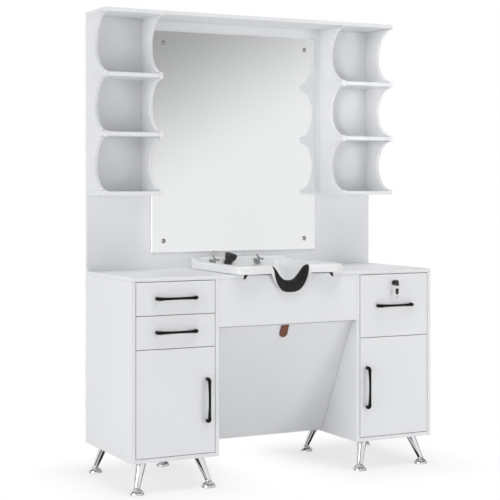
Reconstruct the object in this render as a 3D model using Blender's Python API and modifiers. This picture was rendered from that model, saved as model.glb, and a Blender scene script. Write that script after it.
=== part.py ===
# Shampoo station: two leg-mounted cabinets joined by a worktop with a backwash bowl,
# a knee space with a tip-out access panel, and a back panel with a mirror and two shelf towers.
# Metres, +Z up. The floor is Z = 0, X = 0 is the middle, and the user stands on the -Y side.

import bpy
import bmesh
import math
from mathutils import Matrix, Vector

# Whole station
STATION_WIDTH = 1.400
STATION_DEPTH = 0.515
BOARD = 0.016
SEAM = 0.0003
REVEAL = 0.002
EDGE_ROUND = 0.0008
CHAMFER = 0.002
SMALL_CHAMFER = 0.001

# Cabinets and their fronts
LEG_HEIGHT = 0.125
CABINET_WIDTH = 0.377
CARCASS_HEIGHT = 0.7076
LEFT_DRAWER_HEIGHT = 0.1305
RIGHT_DRAWER_HEIGHT = 0.2656
APRON_HEIGHT = 0.1916
APRON_TONGUE_DROP = 0.004

# Drawer boxes and their side runners
DRAWER_WALL = 0.012
DRAWER_FLOOR = 0.006
DRAWER_LENGTH = 0.400
DRAWER_HEADROOM = 0.028
DRAWER_FLOOR_LIFT = 0.012
LOCK_CLEARANCE = 0.0099
RUNNER_WIDTH = 0.0105
RUNNER_HEIGHT = 0.014
RUNNER_SPACE = 0.013
RUNNER_SETBACK = 0.012
RUNNER_LIFT = 0.030
RUNNER_ROOT = 0.004

# Legs
LEG_TOP_RADIUS = 0.021
LEG_ANKLE_RADIUS = 0.012
LEG_PLATE_RADIUS = 0.026
LEG_PLATE_THICKNESS = 0.003
FOOT_RADIUS = 0.028
FOOT_HEIGHT = 0.024
LEG_SPLAY = 0.032
FOOT_INSET_X = 0.033
FOOT_INSET_Y = 0.0285

# Bow pulls
PULL_SPACING = 0.166
PULL_STANDOFF = 0.022
PULL_BOW = 0.003
PULL_BEND = 0.011
PULL_END_RADIUS = 0.0074
PULL_WAIST_RADIUS = 0.0042
DOOR_PULL_INSET = 0.0345

# Concealed door hinges
HINGE_INSET = 0.075
HINGE_ARM_LENGTH = 0.058
HINGE_ARM_WIDTH = 0.013
HINGE_ARM_RISE = 0.014
HINGE_PLATE_LENGTH = 0.032
HINGE_PLATE_HEIGHT = 0.050
HINGE_PLATE_THICKNESS = 0.0025
HINGE_ARM_ROUND = 0.002

# Drawer lock with its two keys
LOCK_DROP = 0.0396
LOCK_RADIUS = 0.0092
LOCK_FLANGE_RADIUS = 0.0112
LOCK_FLANGE = 0.0022
LOCK_TAIL = 0.0040
PLUG_RADIUS = 0.0055
CAM_WIDTH = 0.011
CAM_THICKNESS = 0.002
CAM_ENGAGEMENT = 0.006
KEY_BOW_RADIUS = 0.0105
KEY_THICKNESS = 0.0022
KEY_BLADE_WIDTH = 0.0066
KEY_BLADE_LENGTH = 0.024
KEY_SHANK = 0.006
KEY_EYE_RADIUS = 0.0028
KEY_EYE_INSET = 0.0055
KEY_GRIP_EXTRA = 0.0004
RING_RADIUS = 0.0100
RING_WIRE = 0.0008

# Access panel and its leather pull
PANEL_HEAD_SETBACK = 0.037
PANEL_FOOT_SETBACK = 0.292
PANEL_HEAD_DROP = 0.006
PANEL_FOOT_LIFT = 0.006
PANEL_SIDE_GAP = 0.0008
PANEL_PIN_RADIUS = 0.0045
PANEL_PIN_REACH = 0.008
PANEL_PIN_LIFT = 0.014
TAB_WIDTH = 0.037
TAB_LENGTH = 0.056
TAB_THICKNESS = 0.0028
TAB_DROP = 0.003

# Back panel, shelf towers and mirror
HUTCH_HEIGHT = 1.0757
TOWER_WIDTH = 0.2634
TOWER_DEPTH = 0.218
LOWER_SHELF_RISE = 0.3202
SHELF_PITCH = 0.2455
SHELF_NAMES = ("lower", "middle", "upper")
SCALLOP_DEPTH = 0.114
SCALLOP_STEPS = 14
SHELF_LAND = 0.026
SERVICE_WIDTH = 0.420
SERVICE_HEIGHT = 0.340
SERVICE_LIFT = 0.060
SERVICE_CORNER = 0.030
MIRROR_SIDE_GAP = 0.0306
MIRROR_HEIGHT = 0.9595
MIRROR_THICKNESS = 0.005
MIRROR_LIFT = 0.0704

# Worktop opening and bowl
CUTOUT_SIDE_MARGIN = 0.0455
CUTOUT_BACK_MARGIN = 0.012
CUTOUT_CORNER = 0.045
BOWL_WIDTH = 0.498
BOWL_TAPER = 0.072
BOWL_OVERHANG = 0.045
BOWL_BACK_GAP = 0.012
BOWL_WALL = 0.0045
RIM_HEIGHT = 0.036
BACK_RISE = 0.012
BACK_RISE_START = 0.150
NOTCH_HALF_WIDTH = 0.088
NOTCH_POWER = 2.8
SWEEP_HALF_WIDTH = 0.185
SWEEP_SAMPLES = 4
SWEEP_FIT = 0.98
NOTCH_DROP = 0.078
NOTCH_APRON_GAP = 0.0015
NOTCH_SAMPLES = 10
NOTCH_FIT = 0.92
APRON_DIP_COVER = 0.012
DRAIN_RADIUS = 0.0225
DRAIN_INSET = 0.252
DRAIN_LIP = 0.003
BASIN_DEPTH = 0.2286
DECK_DEPTH = 0.030
BACK_SAMPLE_SHARE = 0.33

# Rings of the bowl's rim, from its skirt inwards: inset, corner radius, height above the rim's
# crest, whether the raised back acts on it, and how much the neck notch narrows towards its foot.
RIM_RINGS = ((0.000, 0.060, SEAM - RIM_HEIGHT, 0, 1.00),
             (0.000, 0.060, -0.0110, 1, 1.15),
             (0.006, 0.056, -0.0026, 1, 1.45),
             (0.018, 0.052, 0.0000, 1, 1.65),
             (0.029, 0.044, -0.0030, 1, 1.75),
             (0.036, 0.038, -0.0120, 1, 1.75))
BASIN_PINCH = 1.75
DECK_RING = len(RIM_RINGS) - 1

# Rings of the basin, downwards: inset from the bowl's side, setback behind the apron, inset from the
# bowl's back, corner radius, share of the depth from the deck to the waste, and how far the neck
# notch, its recess and the raised back act.
BASIN_RINGS = ((0.063, 0.006, 0.0525, 0.028, 0.0000, 0.85, 0.50, 0.3),
               (0.069, 0.018, 0.0820, 0.060, 0.2246, 0.35, 0.15, 0.0),
               (0.083, 0.040, 0.1170, 0.085, 0.5287, 0.00, 0.00, 0.0),
               (0.111, 0.072, 0.1470, 0.100, 0.7805, 0.00, 0.00, 0.0),
               (0.155, 0.118, 0.1710, 0.085, 0.9366, 0.00, 0.00, 0.0))

# Neck rest, folded over the notch's lip; its levels count the bowl's rings from the skirt's foot
PAD_SIDE_MARGIN = 0.0095
PAD_THICKNESS = 0.013
PAD_TIP_THICKNESS = 0.0045
PAD_EDGE_SHARE = 0.45
PAD_GAP = 0.0006
PAD_FOOT_LEVEL = -0.05
PAD_FOOT_RISE = 0.95
PAD_END_POWER = 4
PAD_INNER_LEVEL = 5.6
PAD_INNER_RISE = 0.35
PAD_PROBE_LEVEL = 0.35
PAD_PROBE = 0.004

# Waste fitting
WASTE_FLANGE_RADIUS = 0.032
WASTE_BORE_RADIUS = 0.0155
WASTE_TAIL_RADIUS = 0.0190
WASTE_NUT_RADIUS = 0.030
WASTE_NUT_HEIGHT = 0.012
WASTE_TAIL_LENGTH = 0.085
WASTE_BAR = 0.003
WASTE_FLANGE = 0.0024
WASTE_SEAT = 0.0016
WASTE_NUT_GAP = 0.0012

# Taps and sprayer on the bowl's sloping back wall
HOT_TAP_INSET = 0.109
COLD_TAP_INSET = 0.172
SPRAYER_INSET = 0.185
TAP_PLACE = 0.45
STEM_RADIUS = 0.0115
STEM_DEPTH = 0.024
TAP_FLANGE_RADIUS = 0.0132
TAP_FLANGE = 0.0045
TAP_STEM_HEIGHT = 0.012
TAP_STEM_RADIUS = 0.0071
TAP_HUB_RADIUS = 0.0095
TAP_HUB_HEIGHT = 0.020
TAP_ARM_LEVEL = 0.6
TAP_ARM_REACH = 0.0255
TAP_ARM_RADIUS = 0.0036
TAP_KNOB_RADIUS = 0.0052
MANIFOLD_RADIUS = 0.008
MANIFOLD_OVERHANG = 0.013
DECK_GAP = 0.0006
COLLAR_RADIUS = 0.0175
COLLAR_HEIGHT = 0.010
COLLAR_BORE = 0.0095
SPRAYER_NECK = 0.0140
SPRAYER_GRIP_RADIUS = 0.0165
SPRAYER_KNUCKLE = 0.0235
SPRAYER_CROOK = 47.0
SPRAYER_TIP = 13.0
SPRAYER_HEAD_RADIUS = 0.0275
SPRAYER_HEAD_LENGTH = 0.028
SPRAYER_DISH = 0.003
SPRAYER_BAND = 0.006
SPRAYER_TAPER = 0.004

# Facet counts
ROUND_STEPS = 18
LEG_STEPS = 16
ARM_STEPS = 10
CORNER_STEPS = 5
PULL_STEPS = 8
HEAD_STEPS = 24
RING_STEPS = 24
WIRE_STEPS = 6

# Levels and planes worked out from the sizes
FRONT_Y = BOWL_OVERHANG - (STATION_DEPTH + BOWL_OVERHANG) / 2
BACK_Y = FRONT_Y + STATION_DEPTH
BACK_FACE_Y = BACK_Y - BOARD
FRONT_BACK_Y = FRONT_Y + BOARD
BASE_Z = LEG_HEIGHT
CARCASS_TOP_Z = BASE_Z + CARCASS_HEIGHT
COUNTER_TOP_Z = CARCASS_TOP_Z + BOARD
TOP_UNDERSIDE_Z = COUNTER_TOP_Z + HUTCH_HEIGHT
RIM_Z = COUNTER_TOP_Z + RIM_HEIGHT
APRON_BOTTOM_Z = CARCASS_TOP_Z - APRON_HEIGHT
HALF_WIDTH = STATION_WIDTH / 2
KNEE_HALF = HALF_WIDTH - CABINET_WIDTH
TOWER_FRONT_Y = BACK_Y - TOWER_DEPTH
LOCK_Z = CARCASS_TOP_Z - LOCK_DROP
CABINET_MID = HALF_WIDTH - CABINET_WIDTH / 2
LOCK_HEADROOM = LOCK_DROP + CAM_WIDTH / 2 + LOCK_CLEARANCE
MIRROR_HALF = HALF_WIDTH - TOWER_WIDTH - MIRROR_SIDE_GAP
BOWL_FRONT_Y = FRONT_Y - BOWL_OVERHANG
BOWL_BACK_Y = BACK_FACE_Y - BOWL_BACK_GAP
BOWL_LENGTH = BOWL_BACK_Y - BOWL_FRONT_Y
BOWL_HALF = BOWL_WIDTH / 2
NOTCH_RECESS = BOWL_OVERHANG - BOWL_WALL - NOTCH_APRON_GAP
CUTOUT_HALF = BOWL_HALF - CUTOUT_SIDE_MARGIN
DRAIN_Y = BOWL_BACK_Y - DRAIN_INSET
PAD_HALF_WIDTH = NOTCH_HALF_WIDTH - PAD_SIDE_MARGIN
HOT_TAP_X = HOT_TAP_INSET - BOWL_HALF
COLD_TAP_X = BOWL_HALF - COLD_TAP_INSET
SPRAYER_X = SPRAYER_INSET - BOWL_HALF

SIDES = {"left": -1, "right": 1}


def empty_scene():
    for old in list(bpy.data.objects):
        bpy.data.objects.remove(old, do_unlink=True)


def new_collection(name):
    group = bpy.data.collections.new(name)
    bpy.context.scene.collection.children.link(group)
    return group


empty_scene()
PARTS = new_collection("shampoo_station")
CUTTERS = new_collection("cutters")


def finish(name, colour, roughness, metallic=0.0):
    made = bpy.data.materials.new(name)
    made.use_nodes = True
    shader = made.node_tree.nodes["Principled BSDF"]
    shader.inputs["Base Color"].default_value = (*colour, 1.0)
    shader.inputs["Roughness"].default_value = roughness
    shader.inputs["Metallic"].default_value = metallic
    return made


WHITE_BOARD = finish("white_board", (0.80, 0.81, 0.83), 0.42)
WHITE_PLASTIC = finish("white_moulded_plastic", (0.86, 0.87, 0.88), 0.22)
BLACK_METAL = finish("black_metal", (0.015, 0.015, 0.017), 0.38)
BLACK_RUBBER = finish("black_rubber", (0.022, 0.023, 0.026), 0.60)
CHROME = finish("chrome", (0.78, 0.79, 0.80), 0.08, 1.0)
STEEL = finish("steel", (0.58, 0.59, 0.60), 0.32, 1.0)
MIRROR_GLASS = finish("silvered_glass", (0.90, 0.91, 0.92), 0.02, 1.0)
BROWN_LEATHER = finish("brown_leather", (0.23, 0.075, 0.045), 0.55)


def add_object(name, mesh, material, group=PARTS):
    made = bpy.data.objects.new(name, mesh)
    group.objects.link(made)
    if material:
        mesh.materials.append(material)
    if group is CUTTERS:
        made.hide_render = True
        made.display_type = "WIRE"
    return made


def mesh_from(name, builder):
    # A mesh from a bmesh, with its faces turned outwards.
    bmesh.ops.recalc_face_normals(builder, faces=builder.faces)
    mesh = bpy.data.meshes.new(name)
    builder.to_mesh(mesh)
    builder.free()
    return mesh


def shade_round(thing, angle=35.0):
    thing.data.shade_smooth()
    thing.data.set_sharp_from_angle(angle=math.radians(angle))


def ease_edges(thing, width, segments=1):
    bevel = thing.modifiers.new("eased_edges", "BEVEL")
    bevel.width = width
    bevel.segments = segments
    bevel.limit_method = "ANGLE"


def box(name, x, y, z, material, ease=EDGE_ROUND, group=PARTS):
    # A board between three pairs of limits, with its origin at its centre.
    limits = [sorted(pair) for pair in (x, y, z)]
    size = Vector([high - low for low, high in limits])
    builder = bmesh.new()
    bmesh.ops.create_cube(builder, size=1.0)
    bmesh.ops.scale(builder, vec=size, verts=builder.verts)
    made = add_object(name, mesh_from(name, builder), material, group)
    made.location = [(low + high) / 2 for low, high in limits]
    if ease:
        ease_edges(made, ease)
    return made


def rod(name, radius, start, end, material, group=PARTS, steps=ROUND_STEPS, end_radius=None):
    # A cylinder, or a cone with an end radius, between two points.
    start = Vector(start)
    along = Vector(end) - start
    builder = bmesh.new()
    bmesh.ops.create_cone(builder, cap_ends=True, segments=steps, radius1=radius,
                          radius2=radius if end_radius is None else end_radius, depth=along.length)
    made = add_object(name, mesh_from(name, builder), material, group)
    made.rotation_euler = along.to_track_quat("Z", "Y").to_euler()
    made.location = start + along / 2
    shade_round(made)
    return made


def turned(name, profile, material, steps=ROUND_STEPS, closed=False, group=PARTS):
    # A profile of (radius, height) points spun about Z; it runs down its outer side.
    count = len(profile)
    edges = [(i, i + 1) for i in range(count - 1)]
    if closed:
        edges.append((count - 1, 0))
    mesh = bpy.data.meshes.new(name)
    mesh.from_pydata([(radius, 0.0, height) for radius, height in profile], edges, [])
    made = add_object(name, mesh, material, group)
    spin = made.modifiers.new("spin", "SCREW")
    spin.steps = steps
    spin.render_steps = steps
    spin.use_merge_vertices = True
    spin.merge_threshold = 0.00001
    spin.use_normal_calculate = True
    return settle(made)


def settle(thing):
    # Replaces an object's mesh with its evaluated one, doubles merged and faces turned outwards.
    bpy.context.view_layer.update()
    graph = bpy.context.evaluated_depsgraph_get()
    builder = bmesh.new()
    fixed = bpy.data.meshes.new_from_object(thing.evaluated_get(graph))
    builder.from_mesh(fixed)
    bmesh.ops.remove_doubles(builder, verts=builder.verts, dist=0.00001)
    bmesh.ops.dissolve_degenerate(builder, edges=builder.edges, dist=0.00001)
    bmesh.ops.recalc_face_normals(builder, faces=builder.faces)
    builder.to_mesh(fixed)
    builder.free()
    name = thing.name
    group = thing.users_collection[0]
    placed = thing.matrix_world.copy()
    bpy.data.objects.remove(thing, do_unlink=True)
    fixed.name = name
    made = add_object(name, fixed, None, group)
    made.matrix_world = placed
    return made


def flat_piece(name, points, thickness, placing, material, group=PARTS):
    # A flat outline in the placing's XY plane, thickened evenly about it, edges eased.
    curve = bpy.data.curves.new(name, "CURVE")
    curve.dimensions = "2D"
    curve.fill_mode = "BOTH"
    curve.extrude = thickness / 2 - EDGE_ROUND
    curve.bevel_depth = EDGE_ROUND
    curve.bevel_resolution = 0
    curve.offset = -EDGE_ROUND
    curve.materials.append(material)
    spline = curve.splines.new("POLY")
    spline.points.add(len(points) - 1)
    for place, (across, up) in zip(spline.points, points):
        place.co = (across, up, 0.0, 1.0)
    spline.use_cyclic_u = True
    drawn = bpy.data.objects.new(name, curve)
    group.objects.link(drawn)
    drawn.matrix_world = placing
    return settle(drawn)


def boolean(thing, other, operation):
    step = thing.modifiers.new(operation.lower(), "BOOLEAN")
    step.operation = operation
    step.solver = "EXACT"
    step.object = other


def cut(thing, *tools):
    for tool in tools:
        boolean(thing, tool, "DIFFERENCE")


def join(thing, *others):
    for other in others:
        boolean(thing, other, "UNION")


def hang_on(axis_name, place, things):
    # Parents things to an empty on their joint's axis, where they already are.
    axis = bpy.data.objects.new(axis_name, None)
    axis.empty_display_size = 0.05
    PARTS.objects.link(axis)
    axis.location = place
    for thing in things:
        thing.parent = axis
        thing.matrix_parent_inverse = Matrix.Translation(-Vector(place))


def arc(centre, radius, start, end, steps):
    # Points on an arc from one angle to another, in degrees, both ends included.
    angles = [math.radians(start + (end - start) * i / steps) for i in range(steps + 1)]
    return [(centre[0] + radius * math.cos(a), centre[1] + radius * math.sin(a)) for a in angles]


FACING_X = Matrix(((0, 0, 1, 0), (1, 0, 0, 0), (0, 1, 0, 0), (0, 0, 0, 1)))
FACING_Y = Matrix(((1, 0, 0, 0), (0, 0, -1, 0), (0, 1, 0, 0), (0, 0, 0, 1)))


def front_levels(side):
    # Bottom and top of each front in a cabinet, from the top down; the last is the door.
    heights = [LEFT_DRAWER_HEIGHT, LEFT_DRAWER_HEIGHT] if side < 0 else [RIGHT_DRAWER_HEIGHT]
    levels = []
    top = CARCASS_TOP_Z - REVEAL
    for height in heights:
        levels.append((top - height, top))
        top -= height + REVEAL
    levels.append((BASE_Z + BOARD + REVEAL, top))
    return levels


def drawer_box_levels(side, level):
    # Underside and top of a drawer box behind a front.
    headroom = LOCK_HEADROOM if side > 0 else DRAWER_HEADROOM
    return level[0] + DRAWER_FLOOR_LIFT, level[1] - headroom


def cabinet_span(side):
    # The clear width between a cabinet's sides, as limits in X.
    return sorted((side * (HALF_WIDTH - BOARD), side * (KNEE_HALF + BOARD)))


def panel_hinge():
    # The access panel's lean from upright, and its pin axis, foot and head in Y and Z.
    head = Vector((0, FRONT_Y + PANEL_HEAD_SETBACK, APRON_BOTTOM_Z - PANEL_HEAD_DROP))
    foot = Vector((0, FRONT_Y + PANEL_FOOT_SETBACK, BASE_Z + PANEL_FOOT_LIFT))
    up = (head - foot).normalized()
    back = Vector((0, up.z, -up.y))
    pin = foot + up * PANEL_PIN_LIFT + back * BOARD / 2
    return math.atan2(-up.y, up.z), pin, (head - foot).length


# Cabinets

def build_cabinet(word, side):
    span = cabinet_span(side)
    levels = front_levels(side)
    depth = (FRONT_Y, BACK_FACE_Y - SEAM)
    height = (BASE_Z, CARCASS_TOP_Z)
    outer = box(f"{word}_cabinet_outer_side", (side * HALF_WIDTH, side * (HALF_WIDTH - BOARD)),
                depth, height, WHITE_BOARD)
    inner = box(f"{word}_cabinet_inner_side", (side * KNEE_HALF, side * (KNEE_HALF + BOARD)),
                depth, height, WHITE_BOARD)
    fitted = (span[0] + SEAM, span[1] - SEAM)
    box(f"{word}_cabinet_bottom", fitted, depth, (BASE_Z, BASE_Z + BOARD), WHITE_BOARD)
    divider_mid = levels[-1][1] + REVEAL / 2
    box(f"{word}_cabinet_divider", fitted, (FRONT_BACK_Y + SEAM, BACK_FACE_Y - SEAM),
        (divider_mid - BOARD / 2, divider_mid + BOARD / 2), WHITE_BOARD)
    for number, level in enumerate(levels[:-1]):
        low = drawer_box_levels(side, level)[0] + RUNNER_LIFT - SEAM - RUNNER_HEIGHT
        for board, face, inward in ((outer, side * (HALF_WIDTH - BOARD), -side),
                                    (inner, side * (KNEE_HALF + BOARD), side)):
            rail = box(f"rail_{board.name}_{number}",
                       (face - inward * RUNNER_ROOT, face + inward * RUNNER_WIDTH),
                       (FRONT_BACK_Y + RUNNER_SETBACK, FRONT_BACK_Y + DRAWER_LENGTH),
                       (low, low + RUNNER_HEIGHT), None, EDGE_ROUND, CUTTERS)
            join(board, rail)
    pin = panel_hinge()[1]
    reach = KNEE_HALF + PANEL_PIN_REACH + SEAM
    bore = rod(f"pin_bore_{word}", PANEL_PIN_RADIUS + SEAM, (side * (KNEE_HALF - BOARD), pin.y, pin.z),
               (side * reach, pin.y, pin.z), None, CUTTERS)
    cut(inner, bore)


def build_drawer(name, side, level):
    span = cabinet_span(side)
    width = (span[0] + REVEAL, span[1] - REVEAL)
    front = box(f"{name}_front", width, (FRONT_Y, FRONT_BACK_Y), level, WHITE_BOARD)
    low, high = drawer_box_levels(side, level)
    outside = (span[0] + RUNNER_SPACE, span[1] - RUNNER_SPACE)
    near = FRONT_BACK_Y + SEAM
    far = FRONT_BACK_Y + DRAWER_LENGTH
    tray = box(f"{name}_box", outside, (near, far), (low, high), WHITE_BOARD)
    inside = box(f"{name}_hollow", (outside[0] + DRAWER_WALL, outside[1] - DRAWER_WALL),
                 (near + DRAWER_WALL, far - DRAWER_WALL), (low + DRAWER_FLOOR, high + BOARD),
                 None, 0, CUTTERS)
    cut(tray, inside)
    clear = RUNNER_SPACE - RUNNER_WIDTH
    ledge_low = low + RUNNER_LIFT
    for wall, outward, word_side in ((outside[0], -1, "a"), (outside[1], 1, "b")):
        ledge = box(f"{name}_ledge_{word_side}",
                    (wall - outward * RUNNER_ROOT, wall + outward * (RUNNER_SPACE - clear / 2)),
                    (near + RUNNER_SETBACK, far - RUNNER_SETBACK),
                    (ledge_low, ledge_low + RUNNER_HEIGHT), None, EDGE_ROUND, CUTTERS)
        join(tray, ledge)
    pull = build_pull(f"{name}_handle", (side * CABINET_MID, FRONT_Y, (level[0] + level[1]) / 2), False)
    return [front, tray, pull]


def build_door(word, side, level):
    span = cabinet_span(side)
    width = (span[0] + REVEAL, span[1] - REVEAL)
    door = box(f"{word}_door", width, (FRONT_Y, FRONT_BACK_Y), level, WHITE_BOARD)
    free_edge = width[1] if side < 0 else width[0]
    place = (free_edge + side * DOOR_PULL_INSET, FRONT_Y, (level[0] + level[1]) / 2)
    pull = build_pull(f"{word}_door_handle", place, True)
    hinge_x = side * (HALF_WIDTH - BOARD - REVEAL / 2)
    hang_on(f"{word}_door_axis", (hinge_x, FRONT_Y, (level[0] + level[1]) / 2), [door, pull])
    face = side * (HALF_WIDTH - BOARD - SEAM)
    for end, height in (("upper", level[1] - HINGE_INSET), ("lower", level[0] + HINGE_INSET)):
        build_hinge_arm(f"{word}_door_{end}_hinge", face, -side, height)


def build_hinge_arm(name, face, inward, height):
    near = FRONT_BACK_Y + SEAM
    arm = box(name, (face + inward * HINGE_PLATE_THICKNESS / 2, face + inward * HINGE_ARM_RISE),
              (near, near + HINGE_ARM_LENGTH),
              (height - HINGE_ARM_WIDTH / 2, height + HINGE_ARM_WIDTH / 2), STEEL, HINGE_ARM_ROUND)
    plate_mid = near + HINGE_ARM_LENGTH - HINGE_PLATE_LENGTH / 2
    plate = box(f"{name}_plate", (face, face + inward * HINGE_PLATE_THICKNESS),
                (plate_mid - HINGE_PLATE_LENGTH / 2, plate_mid + HINGE_PLATE_LENGTH / 2),
                (height - HINGE_PLATE_HEIGHT / 2, height + HINGE_PLATE_HEIGHT / 2),
                None, EDGE_ROUND, CUTTERS)
    join(arm, plate)


def build_pull(name, place, upright):
    # A bow handle: two feet, a bend at each, and a bar that thins towards its waist.
    half = PULL_SPACING / 2
    path = [(-half, SEAM, PULL_END_RADIUS), (-half, PULL_STANDOFF - PULL_BEND, PULL_END_RADIUS)]
    for across, out in arc((-half + PULL_BEND, PULL_STANDOFF - PULL_BEND), PULL_BEND, 180, 90, 3)[1:]:
        path.append((across, out, PULL_END_RADIUS))
    ends = list(path)
    reach = half - PULL_BEND
    for i in range(1, PULL_STEPS):
        turn = -1 + 2 * i / PULL_STEPS
        bow = math.cos(turn * math.pi / 2)
        radius = PULL_END_RADIUS + (PULL_WAIST_RADIUS - PULL_END_RADIUS) * math.sqrt(bow)
        path.append((reach * turn, PULL_STANDOFF + PULL_BOW * bow, radius))
    path += [(-across, out, radius) for across, out, radius in reversed(ends)]
    curve = bpy.data.curves.new(name, "CURVE")
    curve.dimensions = "3D"
    curve.bevel_depth = 1.0
    curve.bevel_resolution = 2
    curve.use_fill_caps = True
    curve.materials.append(BLACK_METAL)
    spline = curve.splines.new("POLY")
    spline.points.add(len(path) - 1)
    for point, (across, out, radius) in zip(spline.points, path):
        point.co = (across, -out, 0.0, 1.0)
        point.radius = radius
    drawn = bpy.data.objects.new(name, curve)
    PARTS.objects.link(drawn)
    turn = Matrix.Rotation(math.radians(90), 4, "Y") if upright else Matrix.Identity(4)
    drawn.matrix_world = Matrix.Translation(place) @ turn
    made = settle(drawn)
    shade_round(made, 50)
    return made


# Legs

def build_leg(name, foot_x, foot_y, splay_x, splay_y):
    top = BASE_Z - SEAM
    plate = top - LEG_PLATE_THICKNESS
    profile = [(0, top), (LEG_PLATE_RADIUS, top), (LEG_PLATE_RADIUS, plate), (LEG_TOP_RADIUS, plate),
               (LEG_ANKLE_RADIUS, FOOT_HEIGHT + CHAMFER), (LEG_ANKLE_RADIUS + CHAMFER, FOOT_HEIGHT)]
    for radius, height in arc((0, 0), 1.0, 70, 12, 4):
        profile.append((FOOT_RADIUS * radius, FOOT_HEIGHT * height))
    profile += [(FOOT_RADIUS, SMALL_CHAMFER), (FOOT_RADIUS - SMALL_CHAMFER, 0), (0, 0)]
    leg = turned(name, profile, CHROME, LEG_STEPS)
    for vertex in leg.data.vertices:
        climb = max(0.0, (vertex.co.z - FOOT_HEIGHT) / (plate - FOOT_HEIGHT))
        vertex.co.x += splay_x * min(climb, 1.0)
        vertex.co.y += splay_y * min(climb, 1.0)
    leg.location = (foot_x, foot_y, 0)
    shade_round(leg)


def build_legs():
    for word, side in SIDES.items():
        corners = {"outer": (side * (HALF_WIDTH - FOOT_INSET_X), -side),
                   "inner": (side * (KNEE_HALF + FOOT_INSET_X), side)}
        for place, (foot_x, inward) in corners.items():
            build_leg(f"{word}_front_{place}_leg", foot_x, FRONT_Y + FOOT_INSET_Y,
                      inward * LEG_SPLAY, LEG_SPLAY)
            build_leg(f"{word}_back_{place}_leg", foot_x, BACK_Y - FOOT_INSET_Y,
                      inward * LEG_SPLAY, -LEG_SPLAY)


# Worktop, apron and access panel

def build_worktop():
    half = CUTOUT_HALF
    back = BOWL_BACK_Y - CUTOUT_BACK_MARGIN
    far = BACK_FACE_Y - SEAM
    corner = CUTOUT_CORNER
    points = [(-HALF_WIDTH, FRONT_Y), (-half, FRONT_Y)]
    points += arc((-half + corner, back - corner), corner, 180, 90, CORNER_STEPS)
    points += arc((half - corner, back - corner), corner, 90, 0, CORNER_STEPS)
    points += [(half, FRONT_Y), (HALF_WIDTH, FRONT_Y), (HALF_WIDTH, far), (-HALF_WIDTH, far)]
    low = CARCASS_TOP_Z + SEAM
    placing = Matrix.Translation((0, 0, (low + COUNTER_TOP_Z) / 2))
    top = flat_piece("countertop", points, COUNTER_TOP_Z - low, placing, WHITE_BOARD)
    # The lock's cam turns up into a slot in the underside.
    cam_y = FRONT_BACK_Y + LOCK_TAIL + CAM_THICKNESS / 2
    sweep = math.sqrt((LOCK_DROP + CAM_ENGAGEMENT) ** 2 - LOCK_DROP ** 2) + CAM_WIDTH
    slot = box("cam_slot", (CABINET_MID - sweep, CABINET_MID + sweep),
               (cam_y - CAM_THICKNESS * 1.5, cam_y + CAM_THICKNESS * 1.5),
               (CARCASS_TOP_Z - BOARD, CARCASS_TOP_Z + CAM_ENGAGEMENT + CAM_THICKNESS), None, 0, CUTTERS)
    cut(top, slot)


def build_apron():
    half = KNEE_HALF - SEAM
    shoulder = CUTOUT_HALF - APRON_TONGUE_DROP
    top = CARCASS_TOP_Z - SEAM
    crest = COUNTER_TOP_Z - APRON_TONGUE_DROP
    # The dip runs behind the skirt's foot, a little above it, so that the skirt hides it.
    skirt = bowl_rings()[0]
    places = [NOTCH_HALF_WIDTH * i / NOTCH_SAMPLES for i in range(NOTCH_SAMPLES + 1)]
    foot = [bowl_point(skirt, across, skirt[1]) for across in places]
    dip = [(point.x, min(crest, point.z + APRON_DIP_COVER)) for point in foot]
    low = [place for place in dip if place[1] < crest]
    right = [(half, APRON_BOTTOM_Z), (half, top), (shoulder, top), (shoulder, crest), dip[len(low)]]
    right += low[:0:-1]
    points = right + [low[0]] + [(-across, up) for across, up in reversed(right)]
    placing = Matrix.Translation((0, (FRONT_Y + FRONT_BACK_Y) / 2, 0)) @ FACING_Y
    flat_piece("apron", points, BOARD, placing, WHITE_BOARD)


def build_access_panel():
    lean, pin, length = panel_hinge()
    half = KNEE_HALF - PANEL_SIDE_GAP
    panel = box("access_panel", (-half, half), (-BOARD / 2, BOARD / 2),
                (-PANEL_PIN_LIFT, length - PANEL_PIN_LIFT), WHITE_BOARD)
    panel.data.transform(Matrix.Translation(panel.location))
    panel.location = (0, 0, 0)
    reach = KNEE_HALF + PANEL_PIN_REACH - SEAM
    pins = rod("panel_pins", PANEL_PIN_RADIUS, (-reach, 0, 0), (reach, 0, 0), None, CUTTERS)
    join(panel, pins)
    width = TAB_WIDTH / 2
    top = length - PANEL_PIN_LIFT - TAB_DROP
    nose = top - TAB_LENGTH + width
    points = [(width, top), (-width, top)] + arc((0, nose), width, 180, 360, 8)
    lift = BOARD / 2 + SEAM + TAB_THICKNESS / 2
    tab = flat_piece("pull_tab", points, TAB_THICKNESS,
                     Matrix.Translation((0, -lift, 0)) @ FACING_Y, BROWN_LEATHER)
    axis = bpy.data.objects.new("access_panel_axis", None)
    PARTS.objects.link(axis)
    axis.location = pin
    axis.rotation_euler = (lean, 0, 0)
    for thing in (panel, pins, tab):
        thing.parent = axis


# Back panel, towers and mirror

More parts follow.
